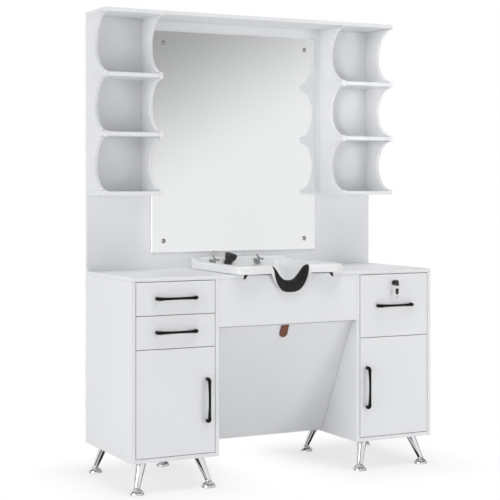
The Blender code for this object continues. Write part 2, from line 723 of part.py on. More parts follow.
def build_back_panel():
    panel = box("back_panel", (-HALF_WIDTH, HALF_WIDTH), (BACK_FACE_Y, BACK_Y),
                (BASE_Z, TOP_UNDERSIDE_Z - SEAM), WHITE_BOARD)
    half = SERVICE_WIDTH / 2
    low = BASE_Z + SERVICE_LIFT
    high = low + SERVICE_HEIGHT
    corner = SERVICE_CORNER
    points = arc((half - corner, low + corner), corner, -90, 0, CORNER_STEPS)
    points += arc((half - corner, high - corner), corner, 0, 90, CORNER_STEPS)
    points += arc((-half + corner, high - corner), corner, 90, 180, CORNER_STEPS)
    points += arc((-half + corner, low + corner), corner, 180, 270, CORNER_STEPS)
    placing = Matrix.Translation((0, (BACK_FACE_Y + BACK_Y) / 2, 0)) @ FACING_Y
    opening = flat_piece("service_opening", points, BOARD * 3, placing, WHITE_BOARD, CUTTERS)
    cut(panel, opening)


def tower_side_outline():
    # Straight at the back, and scooped between the shelf tips at the front.
    front = TOWER_FRONT_Y
    bottom = COUNTER_TOP_Z + LOWER_SHELF_RISE
    top = TOP_UNDERSIDE_Z - SEAM
    mids = [bottom + BOARD / 2 + SHELF_PITCH * i for i in range(len(SHELF_NAMES))]
    scoops = [(low + SHELF_LAND / 2, high - SHELF_LAND / 2) for low, high in zip(mids, mids[1:])]
    scoops.append((mids[-1] + SHELF_LAND / 2, top - SHELF_LAND / 2))
    points = [(BACK_FACE_Y - SEAM, bottom), (front, bottom)]
    for low, high in scoops:
        chord = high - low
        radius = (chord ** 2 / 4 + SCALLOP_DEPTH ** 2) / (2 * SCALLOP_DEPTH)
        centre = (front + SCALLOP_DEPTH - radius, (low + high) / 2)
        spread = math.degrees(math.asin(min(1.0, chord / 2 / radius)))
        if SCALLOP_DEPTH > radius:
            spread = 180 - spread
        points += arc(centre, radius, -spread, spread, SCALLOP_STEPS)
    points += [(front, top), (BACK_FACE_Y - SEAM, top)]
    return points


def build_towers():
    outline = tower_side_outline()
    bottom = COUNTER_TOP_Z + LOWER_SHELF_RISE
    for word, side in SIDES.items():
        outer_mid = side * (HALF_WIDTH - BOARD / 2)
        inner_mid = side * (HALF_WIDTH - TOWER_WIDTH + BOARD / 2)
        for place, middle in (("outer", outer_mid), ("inner", inner_mid)):
            flat_piece(f"{word}_shelf_{place}_side", outline, BOARD,
                       Matrix.Translation((middle, 0, 0)) @ FACING_X, WHITE_BOARD)
        span = sorted((outer_mid - side * (BOARD / 2 + SEAM), inner_mid + side * (BOARD / 2 + SEAM)))
        for number, place in enumerate(SHELF_NAMES):
            low = bottom + SHELF_PITCH * number
            box(f"{word}_shelf_{place}", span, (TOWER_FRONT_Y, BACK_FACE_Y - SEAM),
                (low, low + BOARD), WHITE_BOARD)
    box("top_board", (-HALF_WIDTH, HALF_WIDTH), (TOWER_FRONT_Y, BACK_Y),
        (TOP_UNDERSIDE_Z, TOP_UNDERSIDE_Z + BOARD), WHITE_BOARD)


def build_mirror():
    low = COUNTER_TOP_Z + MIRROR_LIFT
    face = BACK_FACE_Y - SEAM
    box("mirror", (-MIRROR_HALF, MIRROR_HALF), (face - MIRROR_THICKNESS, face),
        (low, low + MIRROR_HEIGHT), MIRROR_GLASS)


# Bowl

def bowl_rings():
    # Rings from the skirt's foot over the rim and down the basin to the waste hole. Each gives
    # half width, front and back in Y, corner radius, height, how far the neck notch, its recess
    # and the raised back act on it, and how much the notch narrows.
    rings = []
    for inset, corner, height, rise, pinch in RIM_RINGS:
        rings.append((BOWL_HALF - inset, BOWL_FRONT_Y + inset, BOWL_BACK_Y - inset, corner,
                      RIM_Z + height, 1.0, 1.0, rise, pinch))
    for inset, front, back, corner, share, notch, recess, rise in BASIN_RINGS:
        depth = DECK_DEPTH + (BASIN_DEPTH - DECK_DEPTH) * share
        rings.append((BOWL_HALF - inset, FRONT_BACK_Y + front, BOWL_BACK_Y - back, corner,
                      RIM_Z - depth, notch, recess, rise, BASIN_PINCH))
    for radius, depth in ((DRAIN_RADIUS * 2, BASIN_DEPTH - DRAIN_LIP), (DRAIN_RADIUS, BASIN_DEPTH)):
        rings.append((radius, DRAIN_Y - radius, DRAIN_Y + radius, radius, RIM_Z - depth,
                      0.0, 0.0, 0.0, BASIN_PINCH))
    return rings


def ease_step(value):
    value = max(0.0, min(1.0, value))
    return value * value * (3 - 2 * value)


def notch_share(across):
    # 1 in the middle of the neck notch, falling to 0 at its shoulders.
    return max(0.0, 1 - abs(across / NOTCH_HALF_WIDTH) ** NOTCH_POWER)


def sweep_share(across):
    # 1 in the middle of the front edge, falling softly to 0 where its inward sweep ends.
    return max(0.0, 1 - (across / SWEEP_HALF_WIDTH) ** 2) ** 1.5


def bowl_point(ring, across, along):
    # A ring's point with the neck notch, its recess, the raised back and the taper put on it.
    front, back = ring[1:3]
    height, notch, recess, rise, pinch = ring[4:]
    share = (along - BOWL_FRONT_Y) / BOWL_LENGTH
    climb = BACK_RISE * rise * ease_step((along - (BOWL_BACK_Y - BACK_RISE_START)) / BACK_RISE_START)
    spread = 1 + BOWL_TAPER * (0.5 - share)
    if along < (front + back) / 2:
        climb -= NOTCH_DROP * notch * notch_share(across) ** pinch
        along += NOTCH_RECESS * recess * sweep_share(across)
    return Vector((across * spread, along, height + climb))


def front_samples(straight):
    # Places across a ring's straight front, the same in every ring that is wide enough.
    reach = min(NOTCH_HALF_WIDTH, straight * NOTCH_FIT)
    past = min(SWEEP_HALF_WIDTH, straight * SWEEP_FIT) - reach
    right = [reach * i / NOTCH_SAMPLES for i in range(1, NOTCH_SAMPLES + 1)]
    right += [reach + past * i / SWEEP_SAMPLES for i in range(1, SWEEP_SAMPLES + 1)]
    return [-across for across in reversed(right)] + [0.0] + right


def bowl_ring_points(ring):
    # One ring, from the left end of its front edge round by the right side and the back.
    width, front, back, corner = ring[:4]
    straight = width - corner
    flat = [(across, front) for across in front_samples(straight)]
    flat += arc((straight, front + corner), corner, -90, 0, CORNER_STEPS)
    flat += arc((straight, back - corner), corner, 0, 90, CORNER_STEPS)
    flat.append((straight * BACK_SAMPLE_SHARE, back))
    flat.append((-straight * BACK_SAMPLE_SHARE, back))
    flat += arc((-straight, back - corner), corner, 90, 180, CORNER_STEPS)
    flat += arc((-straight, front + corner), corner, 180, 270, CORNER_STEPS)
    return [bowl_point(ring, across, along) for across, along in flat]


def loft(name, rings, material, group=PARTS):
    # A skin through rings of equal counts, each ring closed on itself.
    builder = bmesh.new()
    rows = [[builder.verts.new(point) for point in ring] for ring in rings]
    for low, high in zip(rows, rows[1:]):
        for i in range(len(low)):
            after = (i + 1) % len(low)
            builder.faces.new((low[i], low[after], high[after], high[i]))
    bmesh.ops.remove_doubles(builder, verts=builder.verts, dist=0.00001)
    mesh = bpy.data.meshes.new(name)
    builder.to_mesh(mesh)
    builder.free()
    return add_object(name, mesh, material, group)


def deck_frame():
    # The sloping back wall between its top ring and the next: a point on it, and its normal.
    rings = bowl_rings()
    top, low = [bowl_point(ring, 0.0, ring[2]) for ring in rings[DECK_RING:DECK_RING + 2]]
    up = (top - low).normalized()
    return top + (low - top) * TAP_PLACE, Vector((0, -up.z, up.y))


def build_bowl():
    bowl = loft("bowl", [bowl_ring_points(ring) for ring in bowl_rings()], WHITE_PLASTIC)
    wall = bowl.modifiers.new("wall", "SOLIDIFY")
    wall.thickness = BOWL_WALL
    wall.offset = -1
    wall.use_even_offset = True
    place, normal = deck_frame()
    for name, across in (("hot", HOT_TAP_X), ("cold", COLD_TAP_X), ("sprayer", SPRAYER_X)):
        spot = place + Vector((across, 0, 0))
        hole = rod(f"{name}_hole", STEM_RADIUS + SEAM, spot - normal * BOWL_WALL * 2,
                   spot + normal * BOWL_WALL, None, CUTTERS)
        cut(bowl, hole)
    shade_round(bowl, 40)


def build_neck_rest():
    # A pad folded over the notch's lip: each section follows the bowl's profile, set off from it.
    rings = bowl_rings()
    sections = []
    count = NOTCH_SAMPLES * 2
    places = [PAD_HALF_WIDTH * (-1 + 2 * i / count) for i in range(count + 1)]

    def skin(across, level):
        low = int(level)
        ends = [bowl_point(ring, across, ring[1]) for ring in rings[low:low + 2]]
        return ends[0].lerp(ends[1], level - low)

    def outward(across, level):
        slide = skin(across + PAD_PROBE, level) - skin(across - PAD_PROBE, level)
        climb = skin(across, level + PAD_PROBE_LEVEL) - skin(across, level - PAD_PROBE_LEVEL)
        return slide.cross(climb).normalized()

    for across in places:
        share = abs(across) / PAD_HALF_WIDTH
        start = PAD_FOOT_LEVEL + PAD_FOOT_RISE * share ** PAD_END_POWER
        end = PAD_INNER_LEVEL - PAD_INNER_RISE * share ** PAD_END_POWER
        levels = [start, (start + 1) / 2, *range(1, DECK_RING + 1), end]
        thickness = PAD_TIP_THICKNESS + (PAD_THICKNESS - PAD_TIP_THICKNESS) * (1 - share ** 2.5)
        inner = []
        outer = []
        for number, level in enumerate(levels):
            base = skin(across, level)
            normal = outward(across, level)
            taper = PAD_EDGE_SHARE if number in (0, len(levels) - 1) else 1.0
            inner.append(base + normal * PAD_GAP)
            outer.append(base + normal * (PAD_GAP + thickness * taper))
        sections.append(inner + outer[::-1])
    pad = loft("neck_rest", sections, BLACK_RUBBER)
    builder = bmesh.new()
    builder.from_mesh(pad.data)
    bmesh.ops.holes_fill(builder, edges=builder.edges, sides=0)
    bmesh.ops.recalc_face_normals(builder, faces=builder.faces)
    builder.to_mesh(pad.data)
    builder.free()
    shade_round(pad, 60)


def build_waste():
    floor = RIM_Z - BASIN_DEPTH
    seat = floor + WASTE_SEAT
    barrel = DRAIN_RADIUS - SEAM
    under = floor - BOWL_WALL - WASTE_NUT_GAP
    nut_low = under - WASTE_NUT_HEIGHT
    tail_low = under - WASTE_TAIL_LENGTH
    profile = [(WASTE_BORE_RADIUS, seat + WASTE_FLANGE / 2),
               (WASTE_FLANGE_RADIUS - CHAMFER, seat + WASTE_FLANGE),
               (WASTE_FLANGE_RADIUS, seat + WASTE_FLANGE / 2), (WASTE_FLANGE_RADIUS, seat), (barrel, seat),
               (barrel, under), (WASTE_NUT_RADIUS, under), (WASTE_NUT_RADIUS, nut_low),
               (WASTE_TAIL_RADIUS, nut_low), (WASTE_TAIL_RADIUS, tail_low), (WASTE_BORE_RADIUS, tail_low)]
    waste = turned("drain_fitting", profile, CHROME, ROUND_STEPS, True)
    reach = (WASTE_BORE_RADIUS + barrel) / 2
    half = WASTE_BAR / 2
    for name, x, y in (("a", reach, half), ("b", half, reach)):
        bar = box(f"strainer_{name}", (-x, x), (-y, y), (seat - WASTE_BAR, seat), None, 0, CUTTERS)
        bar.location.y += DRAIN_Y
        join(waste, bar)
    waste.location = (0, DRAIN_Y, 0)


# Taps and sprayer

def aim(thing, spot, normal):
    thing.rotation_euler = normal.to_track_quat("Z", "Y").to_euler()
    thing.location = spot


def build_mixer():
    place, normal = deck_frame()
    spots = [place + Vector((across, 0, 0)) for across in (HOT_TAP_X, SPRAYER_X, COLD_TAP_X)]
    bar_depth = normal * (STEM_DEPTH - MANIFOLD_RADIUS / 2)
    ends = (spots[0] - bar_depth, spots[2] - bar_depth)
    past = Vector((MANIFOLD_OVERHANG, 0, 0))
    mixer = rod("mixer_body", MANIFOLD_RADIUS, ends[0] - past, ends[1] + past, CHROME)
    for name, spot in (("hot", spots[0]), ("cold", spots[2])):
        bonnet = turned(f"{name}_bonnet", [
            (0, TAP_STEM_HEIGHT), (TAP_STEM_RADIUS, TAP_STEM_HEIGHT),
            (TAP_STEM_RADIUS, TAP_FLANGE + DECK_GAP), (TAP_FLANGE_RADIUS - CHAMFER, TAP_FLANGE + DECK_GAP),
            (TAP_FLANGE_RADIUS, DECK_GAP + SMALL_CHAMFER), (TAP_FLANGE_RADIUS, DECK_GAP),
            (STEM_RADIUS, DECK_GAP), (STEM_RADIUS, -STEM_DEPTH), (0, -STEM_DEPTH)],
            None, ROUND_STEPS, False, CUTTERS)
        aim(bonnet, spot, normal)
        join(mixer, bonnet)
    collar = turned("collar", [
        (0, -SPRAYER_NECK + COLLAR_HEIGHT), (COLLAR_BORE, -SPRAYER_NECK + COLLAR_HEIGHT),
        (COLLAR_BORE, COLLAR_HEIGHT), (COLLAR_RADIUS - CHAMFER, COLLAR_HEIGHT),
        (COLLAR_RADIUS, COLLAR_HEIGHT - CHAMFER), (COLLAR_RADIUS, DECK_GAP), (STEM_RADIUS, DECK_GAP),
        (STEM_RADIUS, -STEM_DEPTH), (0, -STEM_DEPTH)], None, ROUND_STEPS, False, CUTTERS)
    aim(collar, spots[1], normal)
    join(mixer, collar)


def build_tap_handle(name, across):
    place, normal = deck_frame()
    spot = place + Vector((across, 0, 0))
    base = TAP_STEM_HEIGHT + SEAM
    top = base + TAP_HUB_HEIGHT
    waist = TAP_HUB_RADIUS - CHAMFER
    hub = turned(name, [
        (0, top + 2 * CHAMFER), (TAP_HUB_RADIUS / 2, top + CHAMFER + SMALL_CHAMFER), (waist, top),
        (TAP_HUB_RADIUS, top - CHAMFER), (TAP_HUB_RADIUS, base + 2 * CHAMFER), (waist, base),
        (0, base)], CHROME)
    aim(hub, spot, normal)
    level = spot + normal * (base + TAP_HUB_HEIGHT * TAP_ARM_LEVEL)
    tip = TAP_ARM_REACH
    half_arm = [(0, tip), (TAP_ARM_RADIUS, tip), (TAP_KNOB_RADIUS, tip - TAP_ARM_RADIUS),
                (TAP_ARM_RADIUS, tip - TAP_KNOB_RADIUS * 2)]
    profile = half_arm + [(radius, -height) for radius, height in reversed(half_arm)]
    up = Vector((0, normal.z, -normal.y))
    for number, way in enumerate((Vector((1, 0, 0)), up)):
        arm = turned(f"{name}_arm_{number}", profile, None, ARM_STEPS, False, CUTTERS)
        aim(arm, level, way)
        join(hub, arm)
    shade_round(hub, 40)


def build_sprayer():
    # A short grip on the collar's axis ends in a knuckle, and the bell stands up from there, tipped to one side.
    place, normal = deck_frame()
    spot = place + Vector((SPRAYER_X, 0, 0))
    neck_end = COLLAR_HEIGHT - SPRAYER_NECK + SEAM
    seat = COLLAR_HEIGHT + SEAM
    neck = COLLAR_BORE - SEAM
    grip = SPRAYER_GRIP_RADIUS
    knuckle = [(grip * across, SPRAYER_KNUCKLE + grip * up) for across, up in arc((0, 0), 1.0, 90, 0, 4)]
    sprayer = turned("sprayer", knuckle + [(grip, seat), (neck, seat), (neck, neck_end), (0, neck_end)],
                     BLACK_RUBBER, HEAD_STEPS)
    aim(sprayer, spot, normal)
    head = SPRAYER_HEAD_RADIUS
    face = head - SPRAYER_TAPER
    tip = SPRAYER_HEAD_LENGTH
    flare = tip - SPRAYER_BAND
    bell = turned("sprayer_bell", [
        (0, tip - SPRAYER_DISH), (face + SMALL_CHAMFER - CHAMFER, tip - SPRAYER_DISH),
        (face + SMALL_CHAMFER, tip), (head - CHAMFER, tip), (head, tip - CHAMFER), (head, flare),
        ((head + grip) / 2, flare / 2), (grip - SMALL_CHAMFER, 0), (0, -grip / 2)],
        None, HEAD_STEPS, False, CUTTERS)
    lean = Matrix.Rotation(math.radians(SPRAYER_TIP), 3, "Y")
    lean = lean @ Matrix.Rotation(math.radians(-SPRAYER_CROOK), 3, "X")
    aim(bell, spot + normal * SPRAYER_KNUCKLE, lean @ normal)
    join(sprayer, bell)
    shade_round(sprayer, 40)


# Lock and keys

def build_lock(front):
    centre = Vector((CABINET_MID, 0, LOCK_Z))
    face = FRONT_Y - SEAM
    tail = FRONT_BACK_Y + LOCK_TAIL
    hole = rod("lock_hole", LOCK_RADIUS + SEAM, (CABINET_MID, FRONT_Y - BOARD, LOCK_Z),
               (CABINET_MID, FRONT_BACK_Y + BOARD, LOCK_Z), None, CUTTERS)
    cut(front, hole)
    bore = PLUG_RADIUS + SEAM
    length = tail - face
    body = turned("lock_cylinder", [
        (bore, LOCK_FLANGE), (LOCK_FLANGE_RADIUS - SMALL_CHAMFER, LOCK_FLANGE),
        (LOCK_FLANGE_RADIUS, LOCK_FLANGE / 2), (LOCK_FLANGE_RADIUS, 0), (LOCK_RADIUS, 0),
        (LOCK_RADIUS, -length), (bore, -length)], CHROME, ROUND_STEPS, True)
    towards = Vector((0, -1, 0))
    aim(body, centre + Vector((0, face, 0)), towards)
    # The plug turns in the barrel, with the key in front and the cam behind it.
    key = rod("lock_key", PLUG_RADIUS, centre + Vector((0, face - LOCK_FLANGE, 0)),
              centre + Vector((0, tail + SEAM + CAM_THICKNESS / 2, 0)), STEEL)
    cam_near = tail + SEAM
    cam_reach = LOCK_DROP + CAM_ENGAGEMENT
    cam = box("lock_cam", (CABINET_MID - CAM_WIDTH / 2, CABINET_MID + cam_reach),
              (cam_near, cam_near + CAM_THICKNESS), (LOCK_Z - CAM_WIDTH / 2, LOCK_Z + CAM_WIDTH / 2),
              None, 0, CUTTERS)
    bow_y = face - LOCK_FLANGE - KEY_SHANK - KEY_BOW_RADIUS
    shank = box("key_shank", (CABINET_MID - KEY_THICKNESS / 2, CABINET_MID + KEY_THICKNESS / 2),
                (bow_y, face - LOCK_FLANGE / 2), (LOCK_Z - KEY_BLADE_WIDTH / 2, LOCK_Z + KEY_BLADE_WIDTH / 2),
                None, 0, CUTTERS)
    bow = key_bow("key_bow", (CABINET_MID, bow_y, LOCK_Z))
    join(key, cam, shank, bow)
    eye_y = bow_y - KEY_BOW_RADIUS + KEY_EYE_INSET
    eye = rod("key_eye", KEY_EYE_RADIUS, (CABINET_MID - KEY_BOW_RADIUS, eye_y, LOCK_Z),
              (CABINET_MID + KEY_BOW_RADIUS, eye_y, LOCK_Z), None, CUTTERS)
    cut(key, eye)
    # A ring through the key's eye carries the second key.
    wire = arc((RING_RADIUS, 0), RING_WIRE, 0, 360 - 360 / WIRE_STEPS, WIRE_STEPS - 1)
    ring = turned("spare_key", wire, STEEL, RING_STEPS, True)
    ring_z = LOCK_Z - (KEY_EYE_RADIUS - RING_WIRE - SEAM) - RING_RADIUS
    aim(ring, Vector((CABINET_MID, eye_y, ring_z)), towards)
    shade_round(ring, 60)
    spare_z = ring_z - RING_RADIUS - KEY_BOW_RADIUS + RING_WIRE
    spare_bow = key_bow("spare_bow", (CABINET_MID, eye_y, spare_z))
    blade_low = spare_z - KEY_BOW_RADIUS - KEY_BLADE_LENGTH
    blade = box("spare_blade", (CABINET_MID - KEY_THICKNESS / 2, CABINET_MID + KEY_THICKNESS / 2),
                (eye_y - KEY_BLADE_WIDTH / 2, eye_y + KEY_BLADE_WIDTH / 2), (blade_low, spare_z),
                None, 0, CUTTERS)
    join(ring, spare_bow, blade)
    hang_on("lock_axis", (CABINET_MID, FRONT_Y, LOCK_Z), [key])
    hang_on("key_ring_axis", (CABINET_MID, eye_y, LOCK_Z), [ring])
    return body


def key_bow(name, place):
    place = Vector(place)
    half = Vector((KEY_THICKNESS / 2 + KEY_GRIP_EXTRA, 0, 0))
    return rod(name, KEY_BOW_RADIUS, place - half, place + half, None, CUTTERS, HEAD_STEPS)


def build_station():
    build_back_panel()
    build_towers()
    build_mirror()
    for word, side in SIDES.items():
        build_cabinet(word, side)
        build_door(word, side, front_levels(side)[-1])
    left_levels = front_levels(-1)
    for name, level in (("left_upper_drawer", left_levels[0]), ("left_lower_drawer", left_levels[1])):
        pieces = build_drawer(name, -1, level)
        hang_on(f"{name}_slide", (-CABINET_MID, FRONT_Y, level[0]), pieces)
    right_level = front_levels(1)[0]
    pieces = build_drawer("right_drawer", 1, right_level)
    pieces.append(build_lock(pieces[0]))
    hang_on("right_drawer_slide", (CABINET_MID, FRONT_Y, right_level[0]), pieces)
    build_legs()
    build_worktop()
    build_apron()
    build_access_panel()
    build_bowl()
    build_neck_rest()
    build_waste()
    build_mixer()
    build_tap_handle("hot_tap_handle", HOT_TAP_X)
    build_tap_handle("cold_tap_handle", COLD_TAP_X)
    build_sprayer()


build_station()
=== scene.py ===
import bpy
import bmesh
import math
import numpy as np
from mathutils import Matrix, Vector


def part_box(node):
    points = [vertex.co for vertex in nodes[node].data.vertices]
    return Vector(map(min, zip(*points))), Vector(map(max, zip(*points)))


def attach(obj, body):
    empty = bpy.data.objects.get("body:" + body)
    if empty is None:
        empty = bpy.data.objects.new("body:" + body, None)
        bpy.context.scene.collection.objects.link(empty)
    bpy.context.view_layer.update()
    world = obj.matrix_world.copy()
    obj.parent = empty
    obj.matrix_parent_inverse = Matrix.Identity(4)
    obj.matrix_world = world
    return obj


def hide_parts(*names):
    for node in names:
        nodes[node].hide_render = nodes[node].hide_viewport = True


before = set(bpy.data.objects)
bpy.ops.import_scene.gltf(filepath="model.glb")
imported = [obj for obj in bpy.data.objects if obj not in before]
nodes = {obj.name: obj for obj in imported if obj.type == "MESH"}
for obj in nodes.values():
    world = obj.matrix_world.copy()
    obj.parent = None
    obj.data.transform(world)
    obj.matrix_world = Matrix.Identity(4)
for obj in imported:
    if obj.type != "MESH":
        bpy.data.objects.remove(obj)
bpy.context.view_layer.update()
scene = bpy.context.scene
print("frame loaded:", len(nodes), "CAD nodes")

sides = {"left": -1, "right": 1}
frontFace = -0.235  # outer face of doors and drawers, in Y
towards = (0, -1, 0)  # out of the station's front


class Form(dict):
    # a dictionary of settings whose entries also read as form.name
    __getattr__ = dict.__getitem__


# surfaces from arrays

def unit(vector):
    # vectors divided by their lengths
    vector = np.asarray(vector, float)
    return vector / np.linalg.norm(vector, axis=-1, keepdims=True)


def joined(*axes):
    # coordinates spread over one grid and put side by side in its last axis
    return np.stack(np.broadcast_arrays(*axes), axis=-1)


def onceRound(steps):
    # even angles of a full turn, without the last
    return np.linspace(0, 2 * np.pi, steps, endpoint=False)


def quarterTurn(steps):
    # even angles from zero to a right angle
    return np.linspace(0, np.pi / 2, steps)


def smoothStep(value):
    # 0 below 0, 1 above 1, and 3t^2 - 2t^3 between
    value = np.clip(value, 0.0, 1.0)
    return value * value * (3 - 2 * value)


def boxy(wave, power):
    # a sine or cosine that keeps its sign and whose crests the power flattens
    return np.sign(wave) * np.abs(wave) ** power


def capped(grid, start, end):
    # closes a grid's first and last row at a point each
    caps = [np.broadcast_to(np.asarray(point, float), (1, grid.shape[1], 3)) for point in (start, end)]
    return np.concatenate([caps[0], grid, caps[1]])


def quadsOver(rows, cols, closeRows, closeCols):
    # quads between neighbours of a rows x cols grid, joined back to the start where asked
    a, b = np.meshgrid(np.arange(rows - (not closeRows)), np.arange(cols - (not closeCols)), indexing="ij")
    nextA = (a + 1) % rows
    nextB = (b + 1) % cols
    return joined(a * cols + b, a * cols + nextB, nextA * cols + nextB, nextA * cols + b).reshape(-1, 4)


def meshFrom(name, shells, crease=35.0, turn=True, merge=1e-6, least=1e-7):
    # a shell is a grid whose rows are rings, or (grid, closeRows, closeCols); seams and poles are merged,
    # and edges sharper than the crease in degrees stay sharp
    places, quads, count = [], [], 0
    for shell in shells:
        points, closeRows, closeCols = shell if isinstance(shell, tuple) else (shell, False, True)
        rows, cols = points.shape[:2]
        quads.append(quadsOver(rows, cols, closeRows, closeCols) + count)
        places.append(points.reshape(-1, 3))
        count += rows * cols
    mesh = bpy.data.meshes.new(name)
    mesh.from_pydata(np.concatenate(places).tolist(), [], np.concatenate(quads).tolist())
    work = bmesh.new()
    work.from_mesh(mesh)
    bmesh.ops.remove_doubles(work, verts=work.verts, dist=merge)
    bmesh.ops.dissolve_degenerate(work, edges=work.edges, dist=least)
    if turn:
        bmesh.ops.recalc_face_normals(work, faces=work.faces)
    work.to_mesh(mesh)
    work.free()
    mesh.shade_smooth()
    mesh.set_sharp_from_angle(angle=math.radians(crease))
    return mesh


def pointsOf(mesh):
    places = np.zeros(len(mesh.vertices) * 3)
    mesh.vertices.foreach_get("co", places)
    return places.reshape(-1, 3)


def addMark(mesh, word, values):
    # a number at each point, which a material reads by its name
    mark = mesh.attributes.new(word, "FLOAT", "POINT")
    mark.data.foreach_set("value", values.astype(np.float32))


def addPiece(name, mesh, finish, body, slotName, *replaced):
    made = bpy.data.objects.new(name, mesh)
    scene.collection.objects.link(made)
    mesh.materials.append(surface[finish])
    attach(made, body)
    if replaced:
        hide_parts(*replaced)
    return made


def makePiece(name, shells, finish, body, slotName, *replaced, crease):
    # shells to a dressed piece on a body, in the place of the nodes that it replaces
    return addPiece(name, meshFrom(name, shells, crease), finish, body, slotName, *replaced)


def easedProfile(corners, ease, steps=6, most=0.49):
    # rounds a polyline's inner corners: quadratic curves between points set back along both legs, each by the
    # ease or by most of the shorter leg
    corners = np.asarray(corners, float)
    ease = np.broadcast_to(np.asarray(ease, float), (len(corners) - 2,))
    middle = corners[1:-1]
    back = corners[:-2] - middle
    ahead = corners[2:] - middle
    backLength = np.linalg.norm(back, axis=1)
    aheadLength = np.linalg.norm(ahead, axis=1)
    reach = np.minimum(ease, most * np.minimum(backLength, aheadLength))
    start = middle + back * (reach / backLength)[:, None]
    end = middle + ahead * (reach / aheadLength)[:, None]
    t = np.linspace(0, 1, steps)[None, :, None]
    curve = (1 - t) ** 2 * start[:, None] + 2 * t * (1 - t) * middle[:, None] + t ** 2 * end[:, None]
    return np.concatenate([corners[:1], curve.reshape(-1, 2), corners[-1:]])


def turned(profile, steps=40):
    # spins (radius, height) points about Z: x = r cos a, y = r sin a, z = h
    angle = onceRound(steps)[None]
    radius, height = profile[:, :1], profile[:, 1:]
    return joined(radius * np.cos(angle), radius * np.sin(angle), height)


def placed(points, spot, axis=(0, 0, 1), across=(1, 0, 0)):
    # turns local Z to the axis and local X towards across, then moves the origin to the spot
    axis = unit(axis)
    across = np.asarray(across, float)
    across = unit(across - axis * (across @ axis))
    return points @ np.stack([across, np.cross(axis, across), axis]) + np.asarray(spot, float)


def tubeAlong(path, radii, planeNormal, steps=24):
    # circles of the given radii round a path in one plane, with a flat cap at each end
    tangent = unit(np.gradient(path, axis=0))
    planeNormal = np.asarray(planeNormal, float)
    outward = np.cross(planeNormal, tangent)
    angle = onceRound(steps)[None, :, None]
    ring = np.cos(angle) * outward[:, None] + np.sin(angle) * planeNormal
    return capped(path[:, None] + radii[:, None, None] * ring, path[0], path[-1])


def roundedBox(low, high, ease, steps=4):
    # rounded rectangles stacked along Z; ends step in along a quarter circle and close at the middle
    low, high = np.asarray(low, float), np.asarray(high, float)
    middle, half = (low + high) / 2, (high - low) / 2
    quarter = quarterTurn(steps)
    inset = ease * (1 - np.sin(quarter))
    lift = ease * (1 - np.cos(quarter))
    radius = ease - np.concatenate([inset, inset[::-1]])
    height = np.concatenate([-half[2] + lift, (half[2] - lift)[::-1]])
    angle = (np.arange(4)[:, None] * np.pi / 2 + quarter[None]).reshape(-1)
    signX = np.repeat([1, -1, -1, 1], steps)
    signY = np.repeat([1, 1, -1, -1], steps)
    x = signX * (half[0] - ease) + radius[:, None] * np.cos(angle)
    y = signY * (half[1] - ease) + radius[:, None] * np.sin(angle)
    return capped(joined(x, y, height[:, None]), (0, 0, -half[2]), (0, 0, half[2])) + middle


# shader nodes

def addNode(tree, kind, values=None, **settings):
    # a node with its settings; each of its sockets that is named takes a value, or a link from an output
    made = tree.nodes.new("ShaderNode" + kind)
    for word, value in settings.items():
        setattr(made, word, value)
    sockets = {socket.identifier: socket for socket in made.inputs}
    for word, value in (values or {}).items():
        if isinstance(value, bpy.types.NodeSocket):
            tree.links.new(value, sockets[word])
        else:
            sockets[word].default_value = value
    return made


def ranged(tree, value, start, end):
    # carries a value from the start range to the end range
    words = ("Value", "From Min", "From Max", "To Min", "To Max")
    return addNode(tree, "MapRange", dict(zip(words, (value, *start, *end)))).outputs["Result"]


def mixedShader(tree, share, under, over):
    return addNode(tree, "MixShader", {"Fac": share, "Shader": under.outputs[0], "Shader_001": over.outputs[0]})


# finishes: tone is two colours and a noise's scale, gloss two roughnesses and a scale, grain a scale, a bump
# depth and a detail

